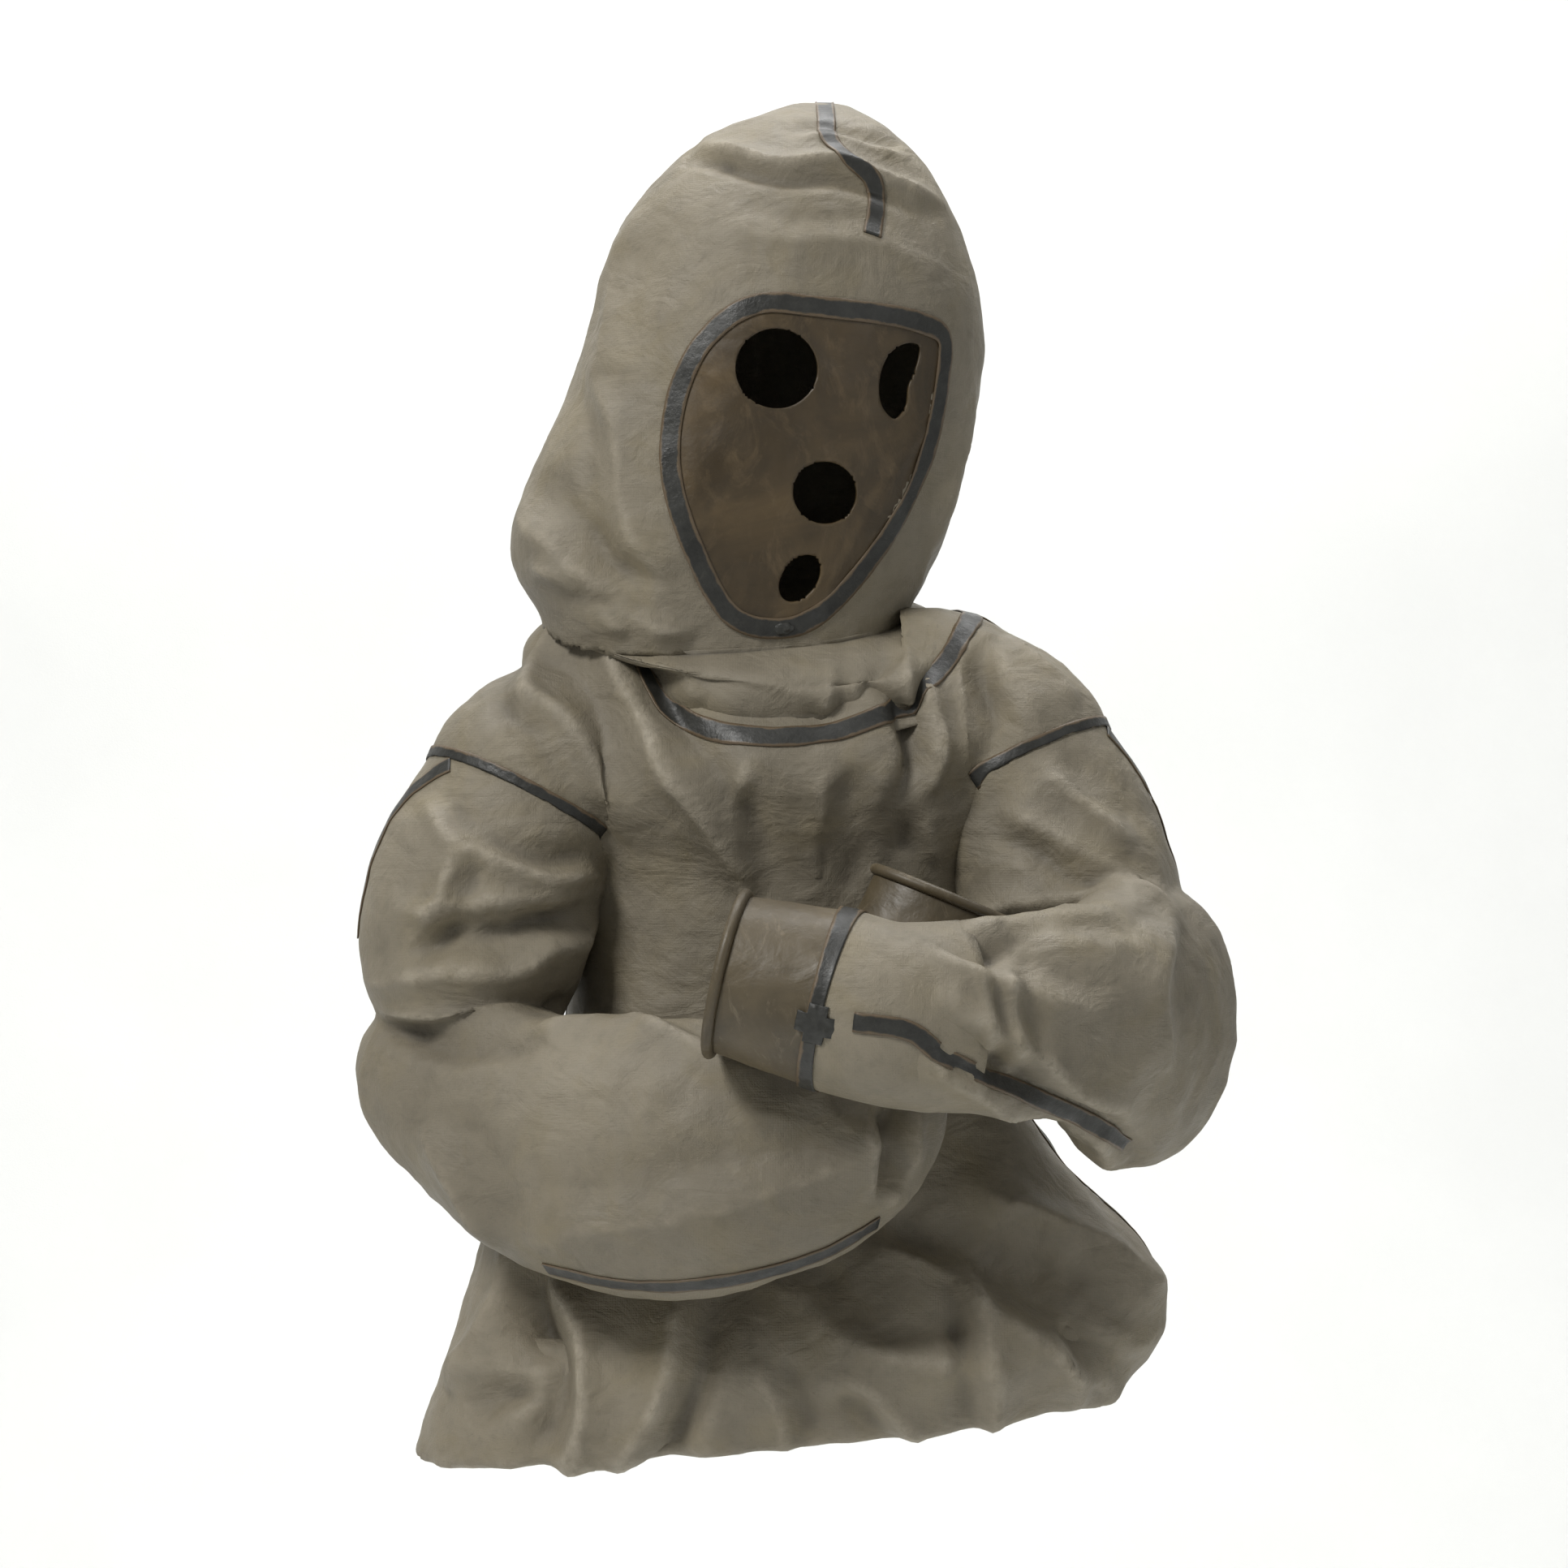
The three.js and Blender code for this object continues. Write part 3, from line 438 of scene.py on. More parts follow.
def skin_of(parts, voxel, rounds):
    """One even skin over closed parts that run into each other, with its creases softened."""
    joined = bmesh.new()
    for part in parts:
        mesh = bpy.data.meshes.new("part")
        part.to_mesh(mesh)
        part.free()
        joined.from_mesh(mesh)
        bpy.data.meshes.remove(mesh)
    obj = new_object("skin", joined)
    modifier = obj.modifiers.new("Skin", "REMESH")
    modifier.mode = "VOXEL"
    modifier.voxel_size = voxel * MILLIMETRE
    evaluated = obj.evaluated_get(bpy.context.evaluated_depsgraph_get())
    bm = bmesh.new()
    bm.from_mesh(evaluated.to_mesh())
    evaluated.to_mesh_clear()
    bpy.data.objects.remove(obj)
    for _ in range(rounds):
        bmesh.ops.smooth_vert(bm, verts=bm.verts, factor=0.5, use_axis_x=True, use_axis_y=True, use_axis_z=True)
    bm.normal_update()
    return bm


def press_folds(bm, folds, rough=1.0, quiet=()):
    """Presses the folds and a fine crumple into the cloth. It stays quiet near its seams."""
    bm.normal_update()
    places = pick_up([v.co for v in bm.verts])
    normals = np.array([v.normal for v in bm.verts])
    height = fold_height(places, normals, folds)
    height += crumple(places, 110, 3.0 * rough, (1.0, 1.0, 0.7))
    height += crumple(places + 500, 38, 0.7 * rough, (0.8, 0.8, 1.2))
    for at, lean, reach in quiet:
        distance = np.abs((places - at) @ lean)
        near = np.linalg.norm(places - at, axis=1) < 170
        fade = np.clip(distance / reach, 0.12, 1)
        height *= np.where(near, fade, 1)
    for vert, normal, rise in zip(bm.verts, normals, height):
        vert.co += Vector(normal * (rise * MILLIMETRE))
    bmesh.ops.smooth_vert(bm, verts=bm.verts, factor=0.15, use_axis_x=True, use_axis_y=True, use_axis_z=True)
    bm.normal_update()


def past_torso(point):
    """How far a point stands out of the torso, measured level."""
    low, high = TORSO.path[0][2], TORSO.path[-1][2]
    shares = np.linspace(0, 1, 60)
    heights = np.array([TORSO.centre(v)[2] for v in shares])
    v = float(np.interp(point[2], heights, shares)) if low < point[2] < high else 1.0
    angles = np.linspace(-math.pi, math.pi, 181)
    ring = TORSO.ring(v, angles)[:, :2]
    turned = np.arctan2(ring[:, 1], ring[:, 0])
    best = np.abs(np.angle(np.exp(1j * (turned - math.atan2(point[1], point[0]))))).argmin()
    return float(np.hypot(*point[:2]) - np.hypot(*ring[best]))


def cut_off(bm, at, normal, reach, clear=None):
    """Cuts away what lies past a plane, near one point only, and only where it is clear of the torso."""
    centre, normal = set_down(at), Vector(normal)
    near = [f for f in bm.faces if (f.calc_center_median() - centre).length < reach * MILLIMETRE]
    geom = {*near, *(e for f in near for e in f.edges), *(v for f in near for v in f.verts)}
    bmesh.ops.bisect_plane(bm, geom=list(geom), dist=1e-5, plane_co=centre, plane_no=normal)
    past = [
        f for f in bm.faces
        if (f.calc_center_median() - centre).length < reach * MILLIMETRE
        and (f.calc_center_median() - centre).dot(normal) > 0
        and (clear is None or past_torso(pick_up([f.calc_center_median()])[0]) > clear)
    ]
    bmesh.ops.delete(bm, geom=past, context="FACES")


def ridge_wear_and_hollow_shade_of(mesh):
    """Stores how proud each point stands of the cloth round it, for wear on the ridges."""
    count = len(mesh.vertices)
    if not count:
        raise RuntimeError(f"{mesh.name} came out empty")
    places = np.empty(count * 3)
    mesh.vertices.foreach_get("co", places)
    places = places.reshape(-1, 3)
    normals = np.array([v.normal for v in mesh.vertices])
    edges = np.empty(len(mesh.edges) * 2, int)
    mesh.edges.foreach_get("vertices", edges)
    one, two = edges.reshape(-1, 2).T
    degree = np.maximum(np.bincount(one, minlength=count) + np.bincount(two, minlength=count), 1)

    def neighbours(values):
        total = np.zeros((count, *values.shape[1:]))
        np.add.at(total, one, values[two])
        np.add.at(total, two, values[one])
        return total / (degree[:, None] if values.ndim > 1 else degree)

    spread = np.linalg.norm(places[one] - places[two], axis=1).mean()
    proud = -((neighbours(places) - places) * normals).sum(1) / spread
    for _ in range(2):
        proud = 0.5 * proud + 0.5 * neighbours(proud)
    # Positive values mark ridges, paled as worn cloth; negative values mark hollows, which the finishes fill with
    # painted shade.
    attribute = mesh.attributes.new("ridge_wear_and_hollow_shade", "FLOAT", "POINT")
    attribute.data.foreach_set("value", np.clip(5 * proud, -1, 1).astype(np.float32))


def finish_piece(obj, material, thickness=0.0, offset=-1.0, ridge_wear_and_hollow_shade=True):
    """Gives a piece its finish, its shading and its wall."""
    obj.data.materials.append(material)
    obj.data.shade_smooth()
    if ridge_wear_and_hollow_shade:
        ridge_wear_and_hollow_shade_of(obj.data)
    if thickness:
        wall = obj.modifiers.new("Wall", "SOLIDIFY")
        wall.thickness = thickness * MILLIMETRE
        wall.offset = offset
    return obj


def tree_of(*objects):
    places, faces = [], []
    for obj in objects:
        first = len(places)
        places.extend(v.co.copy() for v in obj.data.vertices)
        faces.extend([first + i for i in p.vertices] for p in obj.data.polygons)
    return BVHTree.FromPolygons(places, faces)


def from_front(tree, x, height):
    """The point and normal of a piece that is seen first from the front."""
    start = set_down((x, -700, height))
    place, normal, _, _ = tree.ray_cast(start, Vector((0, 1, 0)))
    if place is None:
        place, normal, _, _ = tree.find_nearest(set_down((x, -100, height)))
    return place, (normal if normal.y < 0 else -normal)


def ribbon(name, points, width, tree, lift=0.3, closed=False, thickness=1.0, material=None):
    """A flat strip laid along a line of points on a piece, following each fold under it."""
    line = [np.array(p, float) for p in points]
    if closed:
        line = line + line[:1]
    length = sum(np.linalg.norm(q - p) for p, q in zip(line, line[1:]))
    steps = max(int(length / 0.004), 4)
    spots = [Vector(along_curve(line, i / steps, False)) for i in range(steps + 1)]
    facing = [tree.find_nearest(p)[1] for p in spots]
    for _ in range(3):
        facing = [(facing[max(i - 1, 0)] + facing[i] + facing[min(i + 1, steps)]).normalized() for i in range(steps + 1)]
    bm = bmesh.new()
    bmesh.ops.create_grid(bm, x_segments=steps, y_segments=8, size=1.0)
    rim = bm.verts.layers.float.new("rim")
    for vert in bm.verts:
        i = min(max(round((vert.co.x + 1) / 2 * steps), 0), steps)
        before, after = (i - 1) % steps if closed else max(i - 1, 0), (i + 1) % steps if closed else min(i + 1, steps)
        run = (spots[after] - spots[before]).normalized()
        across = facing[i].cross(run).normalized()
        vert[rim] = abs(vert.co.y)
        uneven = 1 + 0.06 * noise.noise(spots[i] * 60 + Vector((vert.co.y, 0, 0)))
        spot = spots[i % steps if closed else i] + across * (vert.co.y * uneven * width * MILLIMETRE / 2)
        place, normal, _, _ = tree.find_nearest(spot)
        if normal.dot(facing[i]) < 0:
            normal = -normal
        vert.co = place + normal * (lift * MILLIMETRE)
    if closed:
        bmesh.ops.remove_doubles(bm, verts=bm.verts, dist=1e-5)
    bmesh.ops.smooth_vert(bm, verts=[v for v in bm.verts if not v.is_boundary], factor=0.5,
                          use_axis_x=True, use_axis_y=True, use_axis_z=True)
    bm.normal_update()
    tilt = sum(f.normal.dot(tree.find_nearest(f.calc_center_median())[1]) for f in bm.faces)
    if tilt < 0:
        bmesh.ops.reverse_faces(bm, faces=bm.faces)
    obj = new_object(name, bm)
    return finish_piece(obj, material or TAPE(), thickness, 1.0, ridge_wear_and_hollow_shade=False)


def front_line(tree, line):
    return [from_front(tree, x, z)[0] for x, z in smooth_line(line, 4 * len(line))]


# ---- Finishes ----


class Graph:
    """Short words for wiring up a material."""

    def __init__(self, name):
        self.material = bpy.data.materials.new(name)
        self.material.use_nodes = True
        self.nodes = self.material.node_tree.nodes
        self.links = self.material.node_tree.links
        self.shader = next(n for n in self.nodes if n.type == "BSDF_PRINCIPLED")
        self.place = self.nodes.new("ShaderNodeTexCoord").outputs["Object"]

    def link(self, out, into):
        self.links.new(out, into)
        return into

    def noise(self, scale, detail=4.0, rough=0.55, distortion=0.0, stretch=None):
        node = self.nodes.new("ShaderNodeTexNoise")
        node.inputs["Scale"].default_value = scale
        node.inputs["Detail"].default_value = detail
        node.inputs["Roughness"].default_value = rough
        node.inputs["Distortion"].default_value = distortion
        source = self.place
        if stretch:
            mapping = self.nodes.new("ShaderNodeMapping")
            mapping.inputs["Scale"].default_value = stretch
            self.link(self.place, mapping.inputs["Vector"])
            source = mapping.outputs["Vector"]
        self.link(source, node.inputs["Vector"])
        return node.outputs["Fac"]

    def weave(self, scale, direction):
        node = self.nodes.new("ShaderNodeTexWave")
        node.bands_direction = direction
        node.inputs["Scale"].default_value = scale
        node.inputs["Distortion"].default_value = 1.2
        node.inputs["Detail"].default_value = 1.0
        self.link(self.place, node.inputs["Vector"])
        return node.outputs["Fac"]

    def attribute(self, name):
        node = self.nodes.new("ShaderNodeAttribute")
        node.attribute_name = name
        return node.outputs["Fac"]

    def math(self, operation, one, two):
        node = self.nodes.new("ShaderNodeMath")
        node.operation = operation
        for value, socket in ((one, node.inputs[0]), (two, node.inputs[1])):
            if isinstance(value, (int, float)):
                socket.default_value = value
            else:
                self.link(value, socket)
        return node.outputs[0]

    def spread(self, value, low, high, to_low=0.0, to_high=1.0):
        node = self.nodes.new("ShaderNodeMapRange")
        self.link(value, node.inputs["Value"])
        for name, number in (("From Min", low), ("From Max", high), ("To Min", to_low), ("To Max", to_high)):
            node.inputs[name].default_value = number
        return node.outputs["Result"]

    def mix(self, share, one, two, blend="MIX"):
        node = self.nodes.new("ShaderNodeMix")
        node.data_type = "RGBA"
        node.blend_type = blend
        for value, socket in ((share, node.inputs[0]), (one, node.inputs[6]), (two, node.inputs[7])):
            if isinstance(value, (int, float)):
                socket.default_value = value
            elif isinstance(value, tuple):
                socket.default_value = (*value, 1)
            else:
                self.link(value, socket)
        return node.outputs[2]

    def bump(self, height, distance, strength=1.0, under=None):
        node = self.nodes.new("ShaderNodeBump")
        node.inputs["Strength"].default_value = strength
        node.inputs["Distance"].default_value = distance
        self.link(height, node.inputs["Height"])
        if under is not None:
            self.link(under, node.inputs["Normal"])
        return node.outputs["Normal"]

    def finish(self, color, roughness, normal, **uniform):
        self.link(color, self.shader.inputs["Base Color"])
        self.link(roughness, self.shader.inputs["Roughness"])
        self.link(normal, self.shader.inputs["Normal"])
        for name, value in uniform.items():
            self.shader.inputs[name.replace("_", " ").title().replace("Ior", "IOR")].default_value = value
        return self.material


def tint(color, factor):
    return tuple(min(channel * factor, 1.0) for channel in color)


def once(make):
    """Makes a finish the first time it is asked for, and gives the same one again after that."""
    kept = {}

    def give():
        if "made" not in kept:
            kept["made"] = make()
        return kept["made"]

    return give


@once
def CANVAS():
    """Rubberised canvas: mottled grey-khaki with pale worn ridges, dark grime in the valleys and a fine weave."""
    g = Graph("rubberised_canvas")
    base = tuple(bpy.context.scene.smock_colours.canvas)
    patches = g.spread(g.noise(7, 3, 0.5), 0.35, 0.65)
    color = g.mix(patches, tint(base, 0.84), tint(base, 1.1))
    olive = g.spread(g.noise(16, 4, 0.6, 0.8), 0.48, 0.72, 0, 0.5)
    color = g.mix(olive, color, (base[0] * 0.98, base[1] * 0.93, base[2] * 0.74))
    mottle = g.spread(g.noise(60, 6, 0.7), 0.3, 0.7, 0.86, 1.12)
    color = g.mix(1.0, color, g.mix(mottle, (0, 0, 0), (1, 1, 1)), "MULTIPLY")
    ridge_wear_and_hollow_shade = g.attribute("ridge_wear_and_hollow_shade")
    # Painted shade: the valleys are shaded with a deep tint of the canvas, broken up by noise; the ridges below are
    # paled as worn cloth.
    painted_valley_shade = g.math("MULTIPLY", g.spread(ridge_wear_and_hollow_shade, -0.1, -0.9), g.spread(g.noise(30, 4), 0.3, 0.7, 0.35, 0.95))
    color = g.mix(painted_valley_shade, color, tint(base, 0.42))
    pale = g.math("MULTIPLY", g.spread(ridge_wear_and_hollow_shade, 0.2, 1.0), g.spread(g.noise(70, 5, 0.7), 0.35, 0.65, 0.1, 0.8))
    color = g.mix(pale, color, (0.36, 0.32, 0.25))
    scuff = g.spread(g.noise(38, 8, 0.75, 2.4, (1, 1, 0.35)), 0.6, 0.72, 0, 0.35)
    color = g.mix(scuff, color, (0.27, 0.24, 0.185))
    specks = g.spread(g.noise(420, 2), 0.66, 0.74, 0, 0.3)
    color = g.mix(specks, color, tint(base, 0.5))
    rough = g.spread(g.noise(24, 5, 0.6), 0.3, 0.7, 0.5, 0.72)
    weave = g.math("ADD", g.weave(300, "X"), g.weave(300, "Z"))
    normal = g.bump(weave, 0.00012, 0.5)
    normal = g.bump(g.noise(55, 7, 0.62, 0.6), 0.004, 0.5, normal)
    normal = g.bump(g.noise(17, 4, 0.5, 1.4, (1, 1, 1.6)), 0.010, 0.35, normal)
    return g.finish(color, rough, normal, specular_ior_level=0.42)


@once
def TAPE():
    """Cemented seam tape: nearly black with a low gloss, and brown cement squeezed out along its edges."""
    g = Graph("seam_tape")
    base = tuple(bpy.context.scene.smock_colours.tape)
    color = g.mix(g.spread(g.noise(60, 6, 0.7), 0.35, 0.7), base, tint(base, 2.3))
    scuff = g.spread(g.noise(120, 6, 0.75, 1.5), 0.58, 0.72, 0, 0.5)
    color = g.mix(scuff, color, (0.06, 0.055, 0.046))
    uneven = g.math("ADD", g.attribute("rim"), g.spread(g.noise(90, 4), 0.3, 0.7, -0.12, 0.12))
    edge = g.spread(uneven, 0.68, 0.84)
    color = g.mix(edge, color, (0.11, 0.078, 0.045))
    rough = g.spread(g.noise(80, 5), 0.3, 0.7, 0.34, 0.58)
    normal = g.bump(g.noise(210, 5, 0.6), 0.0012, 0.5)
    return g.finish(color, rough, normal, specular_ior_level=0.5)


@once
def FACE_RUBBER():
    """Sheet rubber over the face: olive brown, with dusty scuffs and a faint sheen."""
    g = Graph("face_rubber")
    base = tuple(bpy.context.scene.smock_colours.face_rubber)
    color = g.mix(g.spread(g.noise(14, 4, 0.6, 0.8), 0.35, 0.68), base, tint(base, 2.2))
    dust = g.spread(g.noise(26, 8, 0.72, 2.0, (1, 1, 0.6)), 0.5, 0.74, 0, 0.7)
    color = g.mix(dust, color, (0.13, 0.09, 0.045))
    scratch = g.spread(g.noise(90, 9, 0.8, 3.0, (0.4, 1, 2.2)), 0.62, 0.7, 0, 0.4)
    color = g.mix(scratch, color, (0.18, 0.14, 0.09))
    rough = g.spread(g.noise(30, 5), 0.3, 0.7, 0.36, 0.6)
    normal = g.bump(g.noise(240, 4, 0.6), 0.0006, 0.4)
    normal = g.bump(g.noise(20, 4, 0.5, 1.0), 0.005, 0.35, normal)
    return g.finish(color, rough, normal, specular_ior_level=0.5)


@once
def CUFF_RUBBER():
    """Moulded cuff rubber: olive brown, rubbed paler in streaks round the wrist."""
    g = Graph("cuff_rubber")
    base = tuple(bpy.context.scene.smock_colours.cuff_rubber)
    color = g.mix(g.spread(g.noise(18, 5, 0.6, 0.6), 0.35, 0.68), tint(base, 0.72), tint(base, 1.25))
    rubbed = g.spread(g.noise(45, 8, 0.75, 1.6, (1, 1, 0.4)), 0.55, 0.75, 0, 0.6)
    color = g.mix(rubbed, color, (0.26, 0.21, 0.14))
    # Painted shade: the hollows of the rubber are shaded with a deep tint of it.
    painted_hollow_shade = g.spread(g.attribute("ridge_wear_and_hollow_shade"), -0.1, -0.7, 0, 0.6)
    color = g.mix(painted_hollow_shade, color, tint(base, 0.35))
    rough = g.spread(g.noise(36, 5), 0.3, 0.7, 0.4, 0.62)
    normal = g.bump(g.noise(180, 5, 0.6), 0.0009, 0.4)
    normal = g.bump(g.noise(26, 4, 0.5, 1.0), 0.004, 0.4, normal)
    return g.finish(color, rough, normal, specular_ior_level=0.5)


# ---- Pieces ----

SKINS = {}  # the surfaces that tapes are laid on, by name


def hang(obj):
    """Lets a piece bend between two bodies. Both points are in millimetres above the hem."""
    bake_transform(obj)
    return obj


def hood_bends(obj):
    return hang(obj)


def skirt_bends(obj):
    return hang(obj)


def sleeve_bends(obj):
    return hang(obj)


def build_smock_cloth():
    """The body of the smock with its dropped shoulders, open at the hem, the neck and the armholes."""
    reach = 16 / 90
    parts = [loft(TORSO, 0, 1, 40, 72, capped=True)]
    for arm in (RIGHT_ARM, LEFT_ARM):
        parts.append(loft(arm, 0, ARMHOLE_SHARE + reach / 2, 14, 48, grow=0.5, capped=True))
    bm = skin_of(parts, 4.6, 7)
    press_folds(bm, BODY_FOLDS, 1.0, [(RIGHT_SEAM, RIGHT_LEAN, 26), (LEFT_SEAM, LEFT_LEAN, 26)])
    for seam, lean in ((RIGHT_SEAM, RIGHT_LEAN), (LEFT_SEAM, LEFT_LEAN)):
        cut_off(bm, seam, lean, 112, clear=9)
    low = TORSO.ring(0, np.linspace(-math.pi, math.pi, 73))
    middle = low.mean(0)
    span = 0.5 * (low.max(0) - low.min(0))
    inner = SKIRT.ring(0, np.linspace(-math.pi, math.pi, 73), -5)
    centre, half = inner.mean(0), 0.5 * (inner.max(0) - inner.min(0))
    gone = []
    for face in bm.faces:
        x, y, z = pick_up([face.calc_center_median()])[0]
        share = abs((x - middle[0]) / span[0]) ** 2.3 + abs((y - middle[1]) / span[1]) ** 2.3
        if z < 75 and face.normal.z < -0.5 and share < 0.84 ** 2.3:
            gone.append(face)
        along = ((x - centre[0] + 8) / half[0]) ** 2 + ((y - centre[1]) / half[1]) ** 2
        foot = HOOD_BASE - 22 + 0.3 * (y - 4)
        if z > 480 and (along < 0.62 or (along < 1 and y < -35 and x < 82 and z > foot)):
            gone.append(face)
    bmesh.ops.delete(bm, geom=gone, context="FACES")
    loose = [v for v in bm.verts if not v.link_faces]
    bmesh.ops.delete(bm, geom=loose, context="VERTS")
    obj = new_object("smock_cloth", bm)
    SKINS["smock"] = tree_of(obj)
    finish_piece(obj, CANVAS(), 1.6)
    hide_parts("front_body", "back_body")
    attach(obj, "smock")


def build_hem_facing():
    """The turned-up facing inside the hem."""
    bm = loft(TORSO, 0.02, 0.12, 10, 120, grow=-15)
    obj = new_object("hem_facing_cloth", bm)
    finish_piece(obj, CANVAS(), 1.4)
    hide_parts("hem_facing")
    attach(obj, "smock")


def build_sleeve(side):
    """One sleeve, from the armhole seam round the elbow to the wrist."""
    right = side == "right"
    arm, low = (RIGHT_ARM, RIGHT_FOREARM) if right else (LEFT_ARM, LEFT_FOREARM)
    seam, lean = (RIGHT_SEAM, RIGHT_LEAN) if right else (LEFT_SEAM, LEFT_LEAN)
    count = len(low.path) - 1
    wrist = (count - 2) / count
    parts = [
        loft(arm, ARMHOLE_SHARE - 0.07, 1, 24, 48, grow=0.5, capped=True),
        loft(low, 0, wrist, 40, 56, drawn=(0, 14), capped=True),
    ]
    bm = skin_of(parts, 4.2, 6)
    wrist_at, wrist_along = low.centre(wrist), low.direction(wrist)
    quiet = [(seam, lean, 26), (wrist_at, wrist_along, 24)]
    press_folds(bm, RIGHT_SLEEVE_FOLDS if right else LEFT_SLEEVE_FOLDS, 1.0, quiet)
    cut_off(bm, seam - 1.0 * lean, -lean, 128)
    cut_off(bm, wrist_at, wrist_along, 84)
    loose = [v for v in bm.verts if not v.link_faces]
    bmesh.ops.delete(bm, geom=loose, context="VERTS")
    obj = new_object(f"{side}_sleeve_cloth", bm)
    SKINS[side] = tree_of(obj)
    finish_piece(obj, CANVAS(), 1.6)
    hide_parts(f"{side}_upper_sleeve", f"{side}_forearm_sleeve")
    sleeve_bends(obj)


def build_cuff(side):
    """The doubled band, the moulded rubber cuff, its rolled bead and the tape round the joint."""
    low = RIGHT_FOREARM if side == "right" else LEFT_FOREARM
    count = len(low.path) - 1
    wrist, cuff = (count - 2) / count, (count - 1) / count
    body = f"{side}_sleeve"
    band = loft(low, wrist - 0.35 / count, cuff, 26, 96, grow=1.2)
    band_obj = new_object(f"{side}_band_cloth", band)
    finish_piece(band_obj, CANVAS(), 1.8)
    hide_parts(f"{side}_sleeve_band")
    tube = loft(low, cuff - 0.2 / count, 1, 34, 120)
    tube.normal_update()
    for vert in tube.verts:
        place = pick_up([vert.co])[0]
        ripple = 0.9 * noise.noise(Vector(place / 26)) + 0.35 * noise.noise(Vector(place / 9))
        vert.co += vert.normal * (ripple * MILLIMETRE)
    tube_obj = new_object(f"{side}_cuff_sleeve", tube)
    SKINS[f"{side}_low"] = tree_of(bpy.data.objects[f"{side}_sleeve_cloth"], band_obj, tube_obj)
    SKINS[f"{side}_cuff"] = tree_of(tube_obj)
    finish_piece(tube_obj, CUFF_RUBBER(), 2.2)
    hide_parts(f"{side}_cuff")
    along = low.direction(1)
    angles = np.linspace(-math.pi, math.pi, 121)
    edge, middle = low.ring(1, angles, 0.6), low.centre(1)
    bead = bmesh.new()
    bmesh.ops.create_grid(bead, x_segments=120, y_segments=14, size=1.0)
    for vert in bead.verts:
        i = min(max(round((vert.co.x + 1) * 60), 0), 120)
        out = unit(edge[i] - middle)
        turn = math.pi * vert.co.y
        vert.co = set_down(edge[i] + 4.0 * (1.05 * math.cos(turn) * out + 0.95 * math.sin(turn) * along) + 2.8 * along)
    bmesh.ops.remove_doubles(bead, verts=bead.verts, dist=1e-6)
    bmesh.ops.recalc_face_normals(bead, faces=bead.faces)
    bead_obj = new_object(f"{side}_cuff_bead", bead)
    finish_piece(bead_obj, CUFF_RUBBER())
    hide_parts(f"{side}_cuff_rim")
    half = 6.5 / BAND_LENGTH / count
    ring = loft(low, cuff - 1.1 * half, cuff + 0.8 * half, 8, 120, grow=2.6)
    rim = ring.verts.layers.float.new("rim")
    at, way = low.centre(cuff), low.direction(cuff)
    for vert in ring.verts:
        vert[rim] = min(abs((pick_up([vert.co])[0] - at) @ way) / 7.0, 1)
    ring_obj = new_object(f"{side}_cuff_ring_tape", ring)
    SKINS[f"{side}_ring"] = tree_of(ring_obj)
    finish_piece(ring_obj, TAPE(), 1.2, ridge_wear_and_hollow_shade=False)
    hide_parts(f"{side}_cuff_tape")
    cross_angle = -2.2 if side == "right" else -0.24
    spot = low.ring(cuff, np.array([cross_angle]), 3.4)[0]
    out = unit(spot - at)
    across = np.cross(out, way)
    lump = bmesh.new()
    bmesh.ops.create_grid(lump, x_segments=40, y_segments=40, size=1.0)
    bmesh.ops.delete(lump, geom=[v for v in lump.verts if abs(v.co.x) > 0.52 and abs(v.co.y) > 0.52], context="VERTS")
    for vert in lump.verts:
        u, w = vert.co.x, vert.co.y
        swell = 1.5 * (1 - max(abs(u), abs(w)) ** 4) + 1.1 * noise.noise(Vector((u * 2.4, w * 2.4, 7)))
        point = spot + 13 * (u * way + w * across)
        place, normal, _, _ = SKINS[f"{side}_ring"].find_nearest(set_down(point))
        drop = min(out @ (np.array(place) / MILLIMETRE + np.array((0, 0, NECK_HEIGHT)) - point), 0)
        vert.co = set_down(point + out * (drop * 0.9 + swell))
    lump_obj = new_object(f"{side}_cross_lump", lump)
    finish_piece(lump_obj, TAPE(), 2.0, ridge_wear_and_hollow_shade=False)
    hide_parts(f"{side}_cross_patch")
    for obj in (band_obj, tube_obj, bead_obj, ring_obj, lump_obj):
        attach(obj, body)


